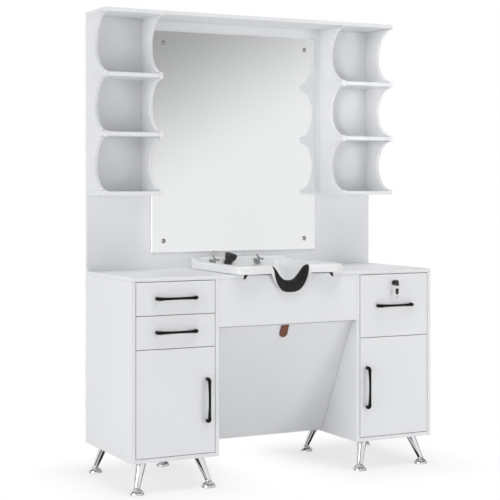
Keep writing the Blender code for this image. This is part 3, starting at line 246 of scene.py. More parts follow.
whiteBoard = {"tone": ((0.862, 0.869, 0.884), (0.880, 0.887, 0.902), 3.0), "gloss": (0.34, 0.44, 38.0),
              "grain": (720.0, 0.000018, 3.0), "sockets": {"Specular IOR Level": 0.46}}
finishes = {
    "white melamine": whiteBoard,
    # fronts: painted shade, a grey band on the board's edges that darkens the gaps round them
    "edged white front": {**whiteBoard, "paintedGapShade": (-0.2347, -0.2193, (0.46, 0.465, 0.475))},
    "white moulded bowl": {
        "tone": ((0.905, 0.911, 0.920), (0.920, 0.926, 0.935), 5.0), "gloss": (0.16, 0.26, 22.0),
        "grain": (36.0, 0.00006, 1.5), "sockets": {"Coat Weight": 0.12, "Coat Roughness": 0.08}},
    "black powder coat": {
        "tone": ((0.005, 0.005, 0.006), (0.010, 0.010, 0.0112), 260.0), "gloss": (0.36, 0.50, 420.0),
        "grain": (1500.0, 0.00004, 2.0), "sockets": {"Specular IOR Level": 0.14}},
    "soft black pad skin": {
        "tone": ((0.009, 0.0093, 0.010), (0.016, 0.0165, 0.018), 60.0), "gloss": (0.40, 0.55, 120.0),
        "grain": (950.0, 0.00010, 4.0), "sockets": {"Specular IOR Level": 0.25}},
    "black sprayer plastic": {
        "tone": ((0.013, 0.0135, 0.015), (0.022, 0.023, 0.025), 40.0), "gloss": (0.28, 0.42, 150.0),
        "grain": (1100.0, 0.00004, 2.0), "sockets": {"Specular IOR Level": 0.5}},
    "chrome plate": {
        "tone": ((0.80, 0.81, 0.82), (0.86, 0.87, 0.88), 30.0), "gloss": (0.03, 0.09, 160.0),
        "grain": (120.0, 0.000006, 1.0), "sockets": {"Metallic": 1.0}},
    # a copy of the chrome plate whose darker colour is painted shade, standing in for the dark surroundings that
    # taps and studs reflect
    "grey chrome with painted reflection": {
        "tone": ((0.36, 0.365, 0.37), (0.44, 0.445, 0.45), 60.0), "gloss": (0.03, 0.08, 160.0),
        "grain": (120.0, 0.000006, 1.0), "sockets": {"Metallic": 1.0}},
    "nickel steel": {
        "tone": ((0.52, 0.53, 0.54), (0.64, 0.65, 0.66), 90.0), "gloss": (0.22, 0.36, 300.0),
        "grain": (900.0, 0.000020, 2.0), "stretch": (1.0, 0.08, 1.0), "sockets": {"Metallic": 1.0}},
    # the lock's metal: its near-black colour is painted shade, standing in for the dark surroundings that plated
    # metal reflects
    "near-black metal with painted reflection": {
        "tone": ((0.10, 0.10, 0.105), (0.15, 0.15, 0.157), 90.0), "gloss": (0.24, 0.38, 300.0),
        "grain": (900.0, 0.000020, 2.0), "sockets": {"Metallic": 1.0}},
    "silvered glass": {
        "tone": ((0.90, 0.91, 0.915), (0.93, 0.94, 0.945), 2.0), "gloss": (0.006, 0.018, 6.0),
        "grain": (3.0, 0.000004, 1.0),
        "sockets": {"Metallic": 1.0, "Coat Weight": 0.2, "Coat Roughness": 0.01}},
    "saddle leather": {
        "tone": ((0.130, 0.036, 0.018), (0.270, 0.088, 0.046), 180.0), "gloss": (0.42, 0.62, 240.0),
        "grain": (620.0, 0.00022, 5.0), "edge": (0.055, 0.016, 0.010),
        "sockets": {"Sheen Weight": 0.08, "Sheen Roughness": 0.5}},
    "waxed thread": {
        "tone": ((0.20, 0.075, 0.040), (0.33, 0.14, 0.080), 900.0), "gloss": (0.55, 0.75, 900.0),
        "grain": (2600.0, 0.00012, 2.0), "sockets": {}},
    "black key head": {
        "tone": ((0.010, 0.010, 0.011), (0.018, 0.018, 0.020), 120.0), "gloss": (0.30, 0.45, 260.0),
        "grain": (1400.0, 0.00005, 2.0), "sockets": {"Specular IOR Level": 0.5}},
}
noiseForm = Form({"toneStops": (0.32, 0.68), "toneDetail": 3.0, "glossStops": (0.3, 0.7), "glossDetail": 2.0})


def makeFinish(name, form):
    # a Principled surface whose colour, roughness and bump follow three noises on Object coordinates
    look = finishes[name]
    made = bpy.data.materials.new(name)
    made.use_nodes = True
    tree = made.node_tree
    shader = tree.nodes["Principled BSDF"]
    for socket, value in look["sockets"].items():
        shader.inputs[socket].default_value = value
    place = addNode(tree, "TexCoord").outputs["Object"]
    stretch = look.get("stretch", (1.0, 1.0, 1.0))
    mapped = addNode(tree, "Mapping", {"Vector": place, "Scale": stretch}).outputs["Vector"]

    def noise(scale, detail):
        return addNode(tree, "TexNoise", {"Vector": mapped, "Scale": scale, "Detail": detail}).outputs["Fac"]

    def blended(under, share, tint):
        values = {"Factor_Float": share, "A_Color": under, "B_Color": (*tint, 1.0)}
        mix = addNode(tree, "Mix", values, data_type="RGBA")
        return {socket.identifier: socket for socket in mix.outputs}["Result_Color"]

    low, high, scale = look["tone"]
    ramp = addNode(tree, "ValToRGB", {"Fac": noise(scale, form.toneDetail)})
    for stop, tint, position in zip(ramp.color_ramp.elements, (low, high), form.toneStops):
        stop.color = (*tint, 1.0)
        stop.position = position
    colour = ramp.outputs["Color"]
    if "edge" in look:  # burnished border, from the piece's own attribute
        border = addNode(tree, "Attribute", attribute_name="border")
        colour = blended(colour, border.outputs["Fac"], look["edge"])
    if "paintedGapShade" in look:  # painted shade: a grey band round the board, between its front and back faces in Y, that darkens the gaps between the fronts
        start, end, tint = look["paintedGapShade"]
        y = addNode(tree, "SeparateXYZ", {"Vector": place}).outputs["Y"]
        values = {"Value": y, "Value_001": (start + end) / 2, "Value_002": (end - start) / 2}
        band = addNode(tree, "Math", values, operation="COMPARE")
        colour = blended(colour, band.outputs["Value"], tint)
    tree.links.new(colour, shader.inputs["Base Color"])
    smooth, rough, scale = look["gloss"]
    gloss = ranged(tree, noise(scale, form.glossDetail), form.glossStops, (smooth, rough))
    tree.links.new(gloss, shader.inputs["Roughness"])
    scale, depth, detail = look["grain"]
    bump = addNode(tree, "Bump", {"Distance": depth, "Height": noise(scale, detail)})
    tree.links.new(bump.outputs["Normal"], shader.inputs["Normal"])
    return made


surface = {name: makeFinish(name, noiseForm) for name in finishes}
print("finishes made:", len(surface))


# boards that keep their CAD shape

boardWords = ("cabinet", "drawer", "door", "panel", "apron", "countertop", "shelf", "board")
boardCount = 0
for name, node in nodes.items():
    chosen = "white melamine" if any(word in name for word in boardWords) else "chrome plate"
    if name.endswith("hinge"):
        chosen = "nickel steel"
    if name == "mirror":
        chosen = "silvered glass"
    # doors and drawer fronts take the white with painted gap shade on their edges
    if name.endswith(("_door", "_drawer_front")):
        chosen = "edged white front"
    for place in node.material_slots:
        place.material = surface[chosen]
    boardCount += "white" in chosen
print("boards dressed:", boardCount)


# scooped sides of the shelf towers

towerForm = Form({
    "front": 0.062, "back": 0.2637, "foot": 1.1688, "head": 1.9240, "board": 0.016, "ease": 0.0012,
    "outer": 0.692, "inner": 0.4446, "depth": 0.114, "steps": 56, "easeSteps": 5,
    "scoops": ((1.1898, 1.4093), (1.4353, 1.6548), (1.6808, 1.9205))})


def scoopedEdge(form):
    # front edge as (y, z) and its outward normal: straight lands, and arcs of the set depth between
    front, depth = form.front, form.depth
    land = np.array([[-1.0, 0.0]])
    places, normals = [[(front, form.foot)]], [land]
    for low, high in form.scoops:
        half = (high - low) / 2
        radius = (half ** 2 + depth ** 2) / (2 * depth)
        spread = math.asin(min(1.0, half / radius))
        if depth > radius:
            spread = np.pi - spread
        angle = np.linspace(-spread, spread, form.steps)
        turn = joined(np.cos(angle), np.sin(angle))
        centre = np.array([front + depth - radius, (low + high) / 2])
        places += [[(front, low)], centre + radius * turn, [(front, high)]]
        normals += [land, -turn, land]
    return np.concatenate(places + [[(front, form.head)]]), np.concatenate(normals + [land])


def scoopedBoard(form, middle):
    # each row runs across the board at one height: back, eased front edge, back again
    edge, normal = scoopedEdge(form)
    quarter = quarterTurn(form.easeSteps)
    half = form.board / 2
    sideX = half - form.ease * (1 - np.cos(quarter))
    inset = form.ease * (1 - np.sin(quarter))
    across = np.concatenate([[-half], -sideX, sideX[::-1], [half]])
    inset = np.concatenate([[0], inset, inset[::-1], [0]])
    yz = edge[:, None] - normal[:, None] * inset[None, :, None]
    yz[:, 0] = yz[:, -1] = joined(form.back, np.maximum.accumulate(edge[:, 1]))
    depthMiddle = (form.front + form.back) / 2
    return capped(joined(middle + across, yz[..., 0], yz[..., 1]),
                  (middle, depthMiddle, form.foot), (middle, depthMiddle, form.head))


for word, side in sides.items():
    for place in ("outer", "inner"):
        name = f"{word}_shelf_{place}_side"
        makePiece(f"scooped_{name}", [scoopedBoard(towerForm, side * towerForm[place])],
                  "white melamine", "station", "white_board", name, crease=30)
print("tower sides made: 4")


# chrome legs

legForm = Form({
    "top": 0.1247, "plateRadius": 0.026, "plateFoot": 0.1217, "topRadius": 0.021, "ankleRadius": 0.012,
    "ankleRise": 0.003, "ankleFlare": 0.0025, "ankleSink": 0.0006, "coneEase": (0.0006, 0.0006, 0.0008, 0.0022),
    "footRadius": 0.028, "footHeight": 0.024, "dome": (66, 4, 22), "soleRise": 0.0005, "soleInset": 0.0015,
    "soleEase": 0.0008, "splay": 0.032, "steps": 56, "outer": 0.667, "inner": 0.356, "front": -0.2065,
    "back": 0.2515})


def leg(form, footX, footY, leanX, leanY):
    # a turned plate, cone and domed foot, sheared so that its top moves by the lean
    plate, ankle, foot = form.plateRadius, form.ankleRadius, form.footRadius
    cone = easedProfile([(0, form.top), (plate, form.top), (plate, form.plateFoot),
                         (form.topRadius, form.plateFoot), (ankle, form.footHeight + form.ankleRise),
                         (ankle + form.ankleFlare, form.footHeight - form.ankleSink)], form.coneEase)
    angle = np.radians(np.linspace(*form.dome))
    dome = joined(foot * np.cos(angle), form.footHeight * np.sin(angle))
    sole = easedProfile([dome[-1], (foot, form.soleRise), (foot - form.soleInset, 0), (0, 0)], form.soleEase)
    points = turned(np.concatenate([cone, dome[:-1], sole]), form.steps)
    climb = np.clip((points[..., 2] - form.footHeight) / (form.plateFoot - form.footHeight), 0, 1)
    points[..., 0] += footX + leanX * climb
    points[..., 1] += footY + leanY * climb
    return points


for word, side in sides.items():
    for place, lean in (("outer", -side), ("inner", side)):
        for row, forward in (("front", 1), ("back", -1)):
            name = f"{word}_{row}_{place}_leg"
            points = leg(legForm, side * legForm[place], legForm[row],
                         lean * legForm.splay, forward * legForm.splay)
            makePiece(f"chrome_{name}", [points], "chrome plate", "station", "chrome", name, crease=40)
print("legs made: 8")


# bow pulls

pullForm = Form({
    "spacing": 0.166, "standoff": 0.022, "bow": 0.003, "bend": 0.011, "endRadius": 0.0074, "waistRadius": 0.0050,
    "seam": 0.0003, "foot": 0.006, "barSteps": 61, "bendSteps": 12, "steps": 28})
pullBodies = ("left_upper_drawer", "left_lower_drawer", "right_drawer", "left_door", "right_door")


def bowPull(form, name):
    # feet and quarter bends at full radius, and a bar thinned and bowed by the cosine of its place
    half = form.spacing / 2
    bend = form.bend
    turn = quarterTurn(form.bendSteps)
    endAcross = np.concatenate([[-half, -half], -half + bend * (1 - np.cos(turn))])
    endOut = np.concatenate([[form.seam, form.foot], form.standoff - bend + bend * np.sin(turn)])
    place = np.linspace(-1, 1, form.barSteps)[1:-1]
    swell = np.cos(place * np.pi / 2)
    across = np.concatenate([endAcross, (half - bend) * place, -endAcross[::-1]])
    out = np.concatenate([endOut, form.standoff + form.bow * swell, endOut[::-1]])
    thin = form.endRadius + (form.waistRadius - form.endRadius) * np.sqrt(swell)
    ends = np.full(len(endAcross), form.endRadius)
    low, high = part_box(name)
    upright = high.z - low.z > high.x - low.x
    along = np.array([0, 0, 1.0] if upright else [1.0, 0, 0])
    centre = np.array([(low.x + high.x) / 2, frontFace, (low.z + high.z) / 2])
    path = centre + across[:, None] * along + out[:, None] * np.array(towards)
    return tubeAlong(path, np.concatenate([ends, thin, ends]), np.cross(along, towards), form.steps)


for body in pullBodies:
    name = f"{body}_handle"
    makePiece(f"bow_{name}", [bowPull(pullForm, name)],
              "black powder coat", body, "black_metal", name, crease=50)
print("pulls made:", len(pullBodies))


# bowl

bowlForm = Form({
    "half": 0.249, "taper": 0.072, "front": -0.280, "back": 0.252, "rim": 0.8846, "wall": 0.0045, "rise": 0.012,
    "riseLength": 0.150, "notchHalf": 0.088, "notchPower": 2.8, "notchDrop": 0.078, "notchSoft": 0.06,
    "notchShare": 0.92, "sweepHalf": 0.185, "sweep": 0.039, "sweepPower": 1.5, "basinPinch": 1.75,
    "apronBack": -0.219, "deckDepth": 0.030, "deckShares": (0.12, 0.88), "basinDepth": 0.2286,
    "drainRadius": 0.0225, "drainY": 0.0, "drainLip": 0.003, "levelSteps": 9, "frontSteps": 61,
    "shoulderSteps": 16, "cornerSteps": 11, "sideSteps": 22})
# from the skirt's foot inwards: inset, corner radius, height above the crest, raised back, notch pinch
rimRings = ((0.000, 0.060, -0.0340, 0, 1.00), (0.000, 0.060, -0.0110, 1, 1.15), (0.006, 0.056, -0.0026, 1, 1.45),
            (0.018, 0.052, 0.0000, 1, 1.65), (0.029, 0.044, -0.0030, 1, 1.75), (0.036, 0.038, -0.0120, 1, 1.75))
# downwards: side inset, setback behind the apron, back inset, corner, depth share, notch, recess, raised back
basinRings = ((0.063, 0.006, 0.0525, 0.028, 0.0000, 0.85, 0.50, 0.3),
              (0.069, 0.018, 0.0820, 0.060, 0.2246, 0.35, 0.15, 0.0),
              (0.083, 0.040, 0.1170, 0.085, 0.5287, 0.00, 0.00, 0.0),
              (0.111, 0.072, 0.1470, 0.100, 0.7805, 0.00, 0.00, 0.0),
              (0.155, 0.118, 0.1710, 0.085, 0.9366, 0.00, 0.00, 0.0))


def bowlRings(form):
    # rows of half width, front, back, corner, height, notch, sweep, rise and pinch, and their levels
    inset, corner, above, raised, pinch = np.array(rimRings).T
    rimRows = joined(form.half - inset, form.front + inset, form.back - inset, corner, form.rim + above, 1.0, 1.0,
                     raised, pinch)
    inset, setback, backInset, corner, share, notch, recess, raised = np.array(basinRings).T
    depth = form.deckDepth + (form.basinDepth - form.deckDepth) * share
    basinRows = joined(form.half - inset, form.apronBack + setback, form.back - backInset, corner,
                       form.rim - depth, notch, recess, raised, form.basinPinch)
    radius = np.array([2.0, 1.0]) * form.drainRadius
    sink = form.rim - np.array([form.basinDepth - form.drainLip, form.basinDepth])
    drainRows = joined(radius, form.drainY - radius, form.drainY + radius, radius, sink, 0.0, 0.0, 0.0,
                       form.basinPinch)
    # two more rings keep the tap deck flat between the rim and the basin's edge
    share = np.array(form.deckShares)
    deckRows = rimRows[-1] + (basinRows[0] - rimRows[-1]) * share[:, None]
    rows = np.concatenate([rimRows, deckRows, basinRows, drainRows])
    first = len(rimRows)
    last = first + len(basinRows) + len(drainRows)
    levels = np.concatenate([np.arange(first), first - 1 + share, np.arange(first, last)])
    return levels, rows


def smoothThrough(knots, values, at):
    # monotone cubic through rows of values: harmonic-mean slopes, flat where the direction turns
    step = np.diff(knots)[:, None]
    slope = np.diff(values, axis=0) / step
    same = slope[1:] * slope[:-1] > 0
    total = np.where(same, slope[1:] + slope[:-1], 1.0)
    inner = np.where(same, 2 * slope[1:] * slope[:-1] / total, 0.0)
    tangent = np.concatenate([slope[:1], inner, slope[-1:]])
    place = np.clip(np.searchsorted(knots, at, side="right") - 1, 0, len(knots) - 2)
    width = step[place]
    t = ((at - knots[place]) / width[:, 0])[:, None]
    return ((1 + 2 * t) * (1 - t) ** 2 * values[place] + t * (1 - t) ** 2 * width * tangent[place]
            + t ** 2 * (3 - 2 * t) * values[place + 1] + t ** 2 * (t - 1) * width * tangent[place + 1])


def bowlPoint(form, ring, across, along):
    # a ring's point, lowered in the neck notch by 1 - (x / half)^power to the ring's pinch, its front edge swept
    # in by 1 - (x / half)^2 to the sweep's power, raised at the back and tapered in plan
    front, back, height, notch, recess, rise, pinch = [ring[..., i:i + 1] for i in (1, 2, 4, 5, 6, 7, 8)]
    share = (along - form.front) / (form.back - form.front)
    climb = form.rise * rise * smoothStep((along - form.back + form.riseLength) / form.riseLength)
    ahead = along < (front + back) / 2
    inward = 1 - np.abs(across / form.notchHalf) ** form.notchPower
    inward = (inward + np.hypot(inward, form.notchSoft)) / 2  # eased where it would turn negative
    sweep = np.maximum(0, 1 - (across / form.sweepHalf) ** 2) ** form.sweepPower
    return joined(across * (1 + form.taper * (0.5 - share)), along + form.sweep * recess * sweep * ahead,
                  height + climb - form.notchDrop * notch * inward ** pinch * ahead)


def bowlSkin(form):
    # rows are levels from the skirt over the rim to the waste, columns go once round the rounded rectangle
    levels, rings = bowlRings(form)
    parts = [np.linspace(a, b, form.levelSteps, endpoint=False) for a, b in zip(levels[:-1], levels[1:])]
    ring = smoothThrough(levels, rings, np.concatenate(parts + [levels[-1:]]))
    half, front, back, corner = [ring[:, i:i + 1] for i in range(4)]
    straight = half - corner
    reach = np.minimum(form.notchHalf, form.notchShare * straight)
    s = np.linspace(-1, 1, form.frontSteps)[None]
    t, few = [np.linspace(0, 1, steps + 2)[None, 1:-1] for steps in (form.sideSteps, form.shoulderSteps)]
    quarter = quarterTurn(form.cornerSteps)[None]
    same = np.ones_like
    nearY, farY = front + corner, back - corner
    sine, cosine = corner * np.sin(quarter), corner * np.cos(quarter)
    across = [reach * s, reach + (straight - reach) * few, straight + sine, half * same(t), straight + cosine,
              straight * (1 - 2 * t), -straight - sine, -half * same(t), -straight - cosine,
              -straight + (straight - reach) * few]
    along = [front * same(s), front * same(few), nearY - cosine, nearY + (farY - nearY) * t, farY + sine,
             back * same(t), farY + cosine, farY + (nearY - farY) * t, nearY - sine, front * same(few)]
    return bowlPoint(form, ring, np.concatenate(across, axis=1), np.concatenate(along, axis=1))


def thickened(name, mesh, wall, crease):
    # gives an open skin its wall on the far side from its normals, as a finished mesh
    carrier = bpy.data.objects.new(name, mesh)
    scene.collection.objects.link(carrier)
    step = carrier.modifiers.new("wall", "SOLIDIFY")
    step.thickness = wall
    step.offset = -1
    graph = bpy.context.evaluated_depsgraph_get()
    made = bpy.data.meshes.new_from_object(carrier.evaluated_get(graph))
    bpy.data.objects.remove(carrier)
    made.name = name
    made.shade_smooth()
    made.set_sharp_from_angle(angle=math.radians(crease))
    return made


bowlMesh = meshFrom("bowl_skin", [bowlSkin(bowlForm)], crease=60, turn=False)
bowlMesh = thickened("moulded_bowl", bowlMesh, bowlForm.wall, crease=50)
addPiece("moulded_bowl", bowlMesh, "white moulded bowl", "station", "white_plastic", "bowl")
print("bowl made:", len(bowlMesh.polygons), "faces")


# neck rest, folded over the notch's lip

restForm = Form({
    "half": 0.0825, "shift": 0.0015, "thickness": 0.013, "tip": 0.0070, "thinPower": 2.5, "gap": 0.0006,
    "foot": -0.06, "footRise": 0.95, "inner": 5.6, "innerRise": 0.35, "endPower": 4, "hornFrom": 0.84,
    "roundness": 4.5, "acrossProbe": 0.004, "levelProbe": 0.3, "acrossSteps": 113, "steps": 64})


def lipPoint(form, across, level):
    # the point of the bowl's front edge at a place across and a level of its rings
    levels, rings = bowlRings(form)
    ring = smoothThrough(levels, rings, level.reshape(-1)).reshape(*level.shape, -1)
    point = bowlPoint(form, ring, across[..., None], ring[..., 1:2])
    return point[..., 0, :]


def neckRest(form, bowl):
    # rows go across the notch; each is a closed section: along the lip's skin, then back at a set height
    # whose edge falls off as a superellipse; the horns close in like the end of an ellipse
    angle = np.linspace(-1, 1, form.acrossSteps)
    share = np.abs(np.sin(angle * np.pi / 2))
    across = form.shift + form.half * np.sin(angle * np.pi / 2)
    horn = np.sqrt(np.clip(1 - (np.maximum(share - form.hornFrom, 0) / (1 - form.hornFrom)) ** 2, 0, 1))
    start = form.foot + form.footRise * share ** form.endPower
    end = form.inner - form.innerRise * share ** form.endPower
    middle = (start + end) / 2
    start = middle + (start - middle) * horn
    end = middle + (end - middle) * horn
    thickness = (form.tip + (form.thickness - form.tip) * (1 - share ** form.thinPower)) * horn
    turn = onceRound(form.steps)[None]
    t = (1 - np.cos(turn)) / 2
    level = start[:, None] + (end - start)[:, None] * t
    crown = np.clip(1 - np.abs(2 * t - 1) ** form.roundness, 0, 1) ** (1 / form.roundness)
    lift = form.gap + thickness[:, None] * crown * (turn > np.pi)
    x = np.broadcast_to(across[:, None], level.shape)
    aside, ahead = form.acrossProbe, form.levelProbe
    slide = lipPoint(bowl, x + aside, level) - lipPoint(bowl, x - aside, level)
    climb = lipPoint(bowl, x, level + ahead) - lipPoint(bowl, x, level - ahead)
    return lipPoint(bowl, x, level) + unit(np.cross(slide, climb)) * lift[..., None]


pad = makePiece("neck_rest_pad", [neckRest(restForm, bowlForm)],
                "soft black pad skin", "station", "black_rubber", "neck_rest", crease=70)
print("neck rest made:", len(pad.data.polygons), "faces")


# waste in the bowl's floor

wasteForm = Form({
    "floor": 0.6560, "seat": 0.0016, "under": 0.0057, "flange": 0.0024, "flangeRadius": 0.032,
    "flangeSlope": 0.003, "bevel": 0.0010, "ease": 0.0008, "bore": 0.0155, "boreFlare": 0.0022, "barrel": 0.0222,
    "nutRadius": 0.030, "nutHeight": 0.012, "tailRadius": 0.019, "tailLength": 0.085, "bar": 0.003,
    "barSunk": 0.001, "barEase": 0.0006, "ringRadius": 0.0085})


def waste(form):
    # a closed profile spun about the drain, with two cross bars and a ring as its strainer
    seat = form.floor + form.seat
    under = form.floor - form.under
    nutLow = under - form.nutHeight
    tailLow = under - form.tailLength
    top = seat + form.flange
    profile = easedProfile([
        (form.bore, seat), (form.bore, top - form.bevel), (form.bore + form.boreFlare, top),
        (form.flangeRadius - form.flangeSlope, top), (form.flangeRadius, top - form.bevel),
        (form.flangeRadius, seat), (form.barrel, seat), (form.barrel, under), (form.nutRadius, under),
        (form.nutRadius, nutLow), (form.tailRadius, nutLow), (form.tailRadius, tailLow), (form.bore, tailLow),
        (form.bore, seat)], form.ease, steps=4)[:-1]
    half = form.bar / 2
    reach = form.bore + form.barSunk
    bars = [roundedBox((-x, -y, seat - form.bar), (x, y, seat), form.barEase)
            for x, y in ((reach, half), (half, reach))]
    turn = onceRound(12)
    wire = joined(form.ringRadius + half * np.cos(turn), seat - half + half * np.sin(turn))
    return [(turned(profile, steps=56), True, True), (turned(wire, steps=40), True, True)] + bars


makePiece("chrome_waste", waste(wasteForm), "chrome plate", "station", "chrome", "drain_fitting", crease=40)


# taps and sprayer on the sloping deck

deckForm = Form({
    "point": (0, 0.20857, 0.87131), "normal": (0, -0.84123, 0.54067), "up": (0, 0.54067, 0.84123), "hot": -0.140,
    "cold": 0.077, "sprayer": -0.064, "gap": 0.0006, "stemRadius": 0.0115, "stemDepth": 0.024})
mixerForm = Form({
    "flange": 0.0132, "flangeHeight": 0.0045, "flangeSlope": 0.002, "flangeEdge": 0.001, "stem": 0.0071,
    "stemHeight": 0.012, "stemFlare": 0.0015, "flareRise": 0.003, "ease": 0.0012, "manifold": 0.008,
    "overhang": 0.013, "pipeSteps": 9})
collarForm = Form({
    "radius": 0.0175, "height": 0.006, "bore": 0.0095, "neck": 0.014, "lip": 0.0012, "bevel": 0.002,
    "ease": 0.0008})
handleForm = Form({
    "base": 0.0123, "hub": 0.0095, "height": 0.020, "waist": 0.002, "waistRise": 0.004, "shoulder": 0.003,
    "capShare": 0.55, "capRise": 0.0030, "crown": 0.0040, "ease": 0.0016, "armLevel": 0.6, "reach": 0.0255,
    "arm": 0.0036, "armThin": 0.86, "knob": 0.0052, "knobTurn": 0.78, "neckFrom": 2.1, "neckTo": 2.9})
sprayerForm = Form({
    "neck": 0.0092, "grip": 0.0165, "knuckle": 0.0235, "play": 0.0003, "ease": 0.0006,
    "lean": (0.22135, -0.17830, 0.95875), "head": 0.0275, "base": 0.0205, "length": 0.028, "dish": 0.003,
    "band": 0.006, "taper": 0.004, "edge": 0.001, "bevel": 0.002, "waist": 0.94, "waistLevel": 0.4,
    "bellEase": (0.002, 0.0012, 0.0012, 0.0016, 0.008, 0.005, 0.003), "nub": 0.0012, "nubRise": 1.3,
    "nubSunk": 0.3, "rings": ((0.0, 1), (0.0075, 6), (0.0145, 12))})


def onDeck(across, lift=0.0):
    # a place on the deck's middle line, moved across and lifted along the deck's normal
    return np.array(deckForm.point) + [across, 0, 0] + np.array(deckForm.normal) * lift


def mixerBody(form, deck):
    # turned bonnets standing on the deck, and the pipe that joins them beneath it
    top, foot, deep = form.flangeHeight + deck.gap, deck.gap, -deck.stemDepth
    bonnet = easedProfile([
        (0, form.stemHeight), (form.stem, form.stemHeight), (form.stem, form.flangeHeight + form.flareRise),
        (form.stem + form.stemFlare, top), (form.flange - form.flangeSlope, top),
        (form.flange, foot + form.flangeEdge), (form.flange, foot), (deck.stemRadius, foot),
        (deck.stemRadius, deep), (0, deep)], form.ease)
    drop = form.manifold / 2 - deck.stemDepth
    pipe = np.linspace(onDeck(deck.hot - form.overhang, drop), onDeck(deck.cold + form.overhang, drop),
                       form.pipeSteps)
    return [placed(turned(bonnet), onDeck(deck[tap]), deck.normal) for tap in ("hot", "cold")] + [
        tubeAlong(pipe, np.full(len(pipe), form.manifold), (0, 0, 1.0), steps=28)]


def sprayerCollar(form, deck):
    # a turned socket through the deck that the sprayer's neck stands in
    bottom, deep = form.height - form.neck, -deck.stemDepth
    collar = easedProfile([
        (0, bottom), (form.bore, bottom), (form.bore, form.height - form.lip), (form.bore + form.lip, form.height),
        (form.radius - form.bevel, form.height), (form.radius, form.height - form.bevel), (form.radius, deck.gap),
        (deck.stemRadius, deck.gap), (deck.stemRadius, deep), (0, deep)], form.ease)
    return [placed(turned(collar), onDeck(deck.sprayer), deck.normal)]


def crossHandle(form, deck, tap):
    # a turned hub with a domed cap, and two turned bars with ball ends through it
    base, hub, tip, ball = form.base, form.hub, form.reach, form.knob
    top = base + form.height
    profile = easedProfile([
        (0, base), (hub - form.waist, base), (hub - form.waist / 4, base + form.waistRise),
        (hub, top - form.shoulder), (hub - form.shoulder / 2, top), (hub * form.capShare, top + form.capRise),
        (0, top + form.crown)], form.ease)
    turn = np.linspace(0, form.knobTurn * np.pi, 12)
    end = joined(ball * np.sin(turn), tip - ball + ball * np.cos(turn))
    neck = [(form.arm * form.armThin, tip - ball * form.neckFrom), (form.arm, tip - ball * form.neckTo)]
    half = np.concatenate([end, neck])
    bar = np.concatenate([half, half[::-1] * [1, -1]])
    level = onDeck(deck[tap], base + form.height * form.armLevel)
    return [placed(turned(profile, steps=36), onDeck(deck[tap]), deck.normal)] + [
        placed(turned(bar, steps=24), level, way, deck.normal) for way in ((1.0, 0, 0), deck.up)]


def sprayHead(form, collar, deck):
    # a turned grip with a round knuckle, a turned bell standing on it, and domed nozzles in rings on the face
    seat = collar.height + form.play
    foot = collar.height - collar.neck + form.play
    turn = np.linspace(np.pi / 2, 0, 14)
    knuckle = joined(form.grip * np.cos(turn), form.knuckle + form.grip * np.sin(turn))
    stem = easedProfile([knuckle[-1], (form.grip, seat), (form.neck, seat), (form.neck, foot), (0, foot)],
                        form.ease)
    head, tip = form.head, form.length
    face, floor, flare = head - form.taper, tip - form.dish, tip - form.band
    bell = easedProfile([
        (0, floor), (face - form.edge, floor), (face + form.edge, tip), (head - form.bevel, tip),
        (head, tip - form.bevel), (head, flare), (head * form.waist, flare * form.waistLevel),
        (form.base, 0), (0, -form.base / 3)], form.bellEase)
    hub = onDeck(deck.sprayer, form.knuckle)
    shells = [placed(turned(np.concatenate([knuckle[:-1], stem]), steps=64), onDeck(deck.sprayer), deck.normal),
              placed(turned(bell, steps=64), hub, form.lean)]
    turn = np.linspace(np.pi / 2, 0, 5)
    nubHeight = form.nub * (np.sin(turn) * form.nubRise - form.nubSunk)
    nub = turned(joined(form.nub * np.cos(turn), nubHeight), steps=10)
    for radius, count in form.rings:
        angle = np.arange(count) * 2 * np.pi / count
        centres = joined(radius * np.cos(angle), radius * np.sin(angle), floor)
        shells += [placed(nub + centre, hub, form.lean) for centre in centres]
    return shells


makePiece("chrome_mixer", mixerBody(mixerForm, deckForm),
          "grey chrome with painted reflection", "station", "chrome", "mixer_body", crease=40)
makePiece("sprayer_collar", sprayerCollar(collarForm, deckForm),
          "black sprayer plastic", "station", "black_rubber", crease=40)
for tap in ("hot", "cold"):
    makePiece(f"{tap}_cross_handle", crossHandle(handleForm, deckForm, tap),
              "grey chrome with painted reflection", f"{tap}_tap", "chrome", f"{tap}_tap_handle", crease=45)
makePiece("spray_head", sprayHead(sprayerForm, collarForm, deckForm),
          "black sprayer plastic", "sprayer", "black_rubber", "sprayer", crease=35)
print("waste, mixer, taps and sprayer made")


# drawer lock and its two keys

lockForm = Form({
    "x": 0.5115, "z": 0.793, "face": -0.2353, "flange": 0.0022, "flangeRadius": 0.0112, "flangeSlope": 0.0016,
    "flangeEdge": 0.0014, "barrel": 0.0092, "barrelEase": 0.0005, "plug": 0.0055, "plugPlay": 0.0003,
    "plugPast": 0.0013, "plugEase": 0.0004, "boreLip": 0.0006, "boreEdge": 0.0004, "tail": -0.215,
    "camY": (-0.2147, -0.2127), "camHalf": 0.0055, "camReach": 0.0456, "camEase": 0.0008, "shankSunk": 0.001,
    "shankEase": 0.0004})
keyForm = Form({
    "bowY": -0.2555, "bow": (0.0125, 0.0125), "bowPower": 3.4, "bowThickness": 0.0064, "edgePower": 0.3,
    "eyeY": -0.259, "eye": 0.0034, "ringZ": 0.7788, "ring": 0.0125, "wire": 0.0008, "spareZ": 0.7575,
    "spareBow": (0.0080, 0.0125), "spareEyeZ": 0.7645, "bladeFoot": 0.7271, "blade": 0.0066,
    "bladeThickness": 0.0022, "cutPlaces": (0, 0.05, 0.10, 0.16, 0.20, 0.26, 0.31, 0.37, 0.42, 0.47, 0.52, 1),
    "cutShares": (0.35, 0.9, 0.9, 0.35, 0.35, 0.75, 0.75, 0.3, 0.3, 0.8, 1, 1)})


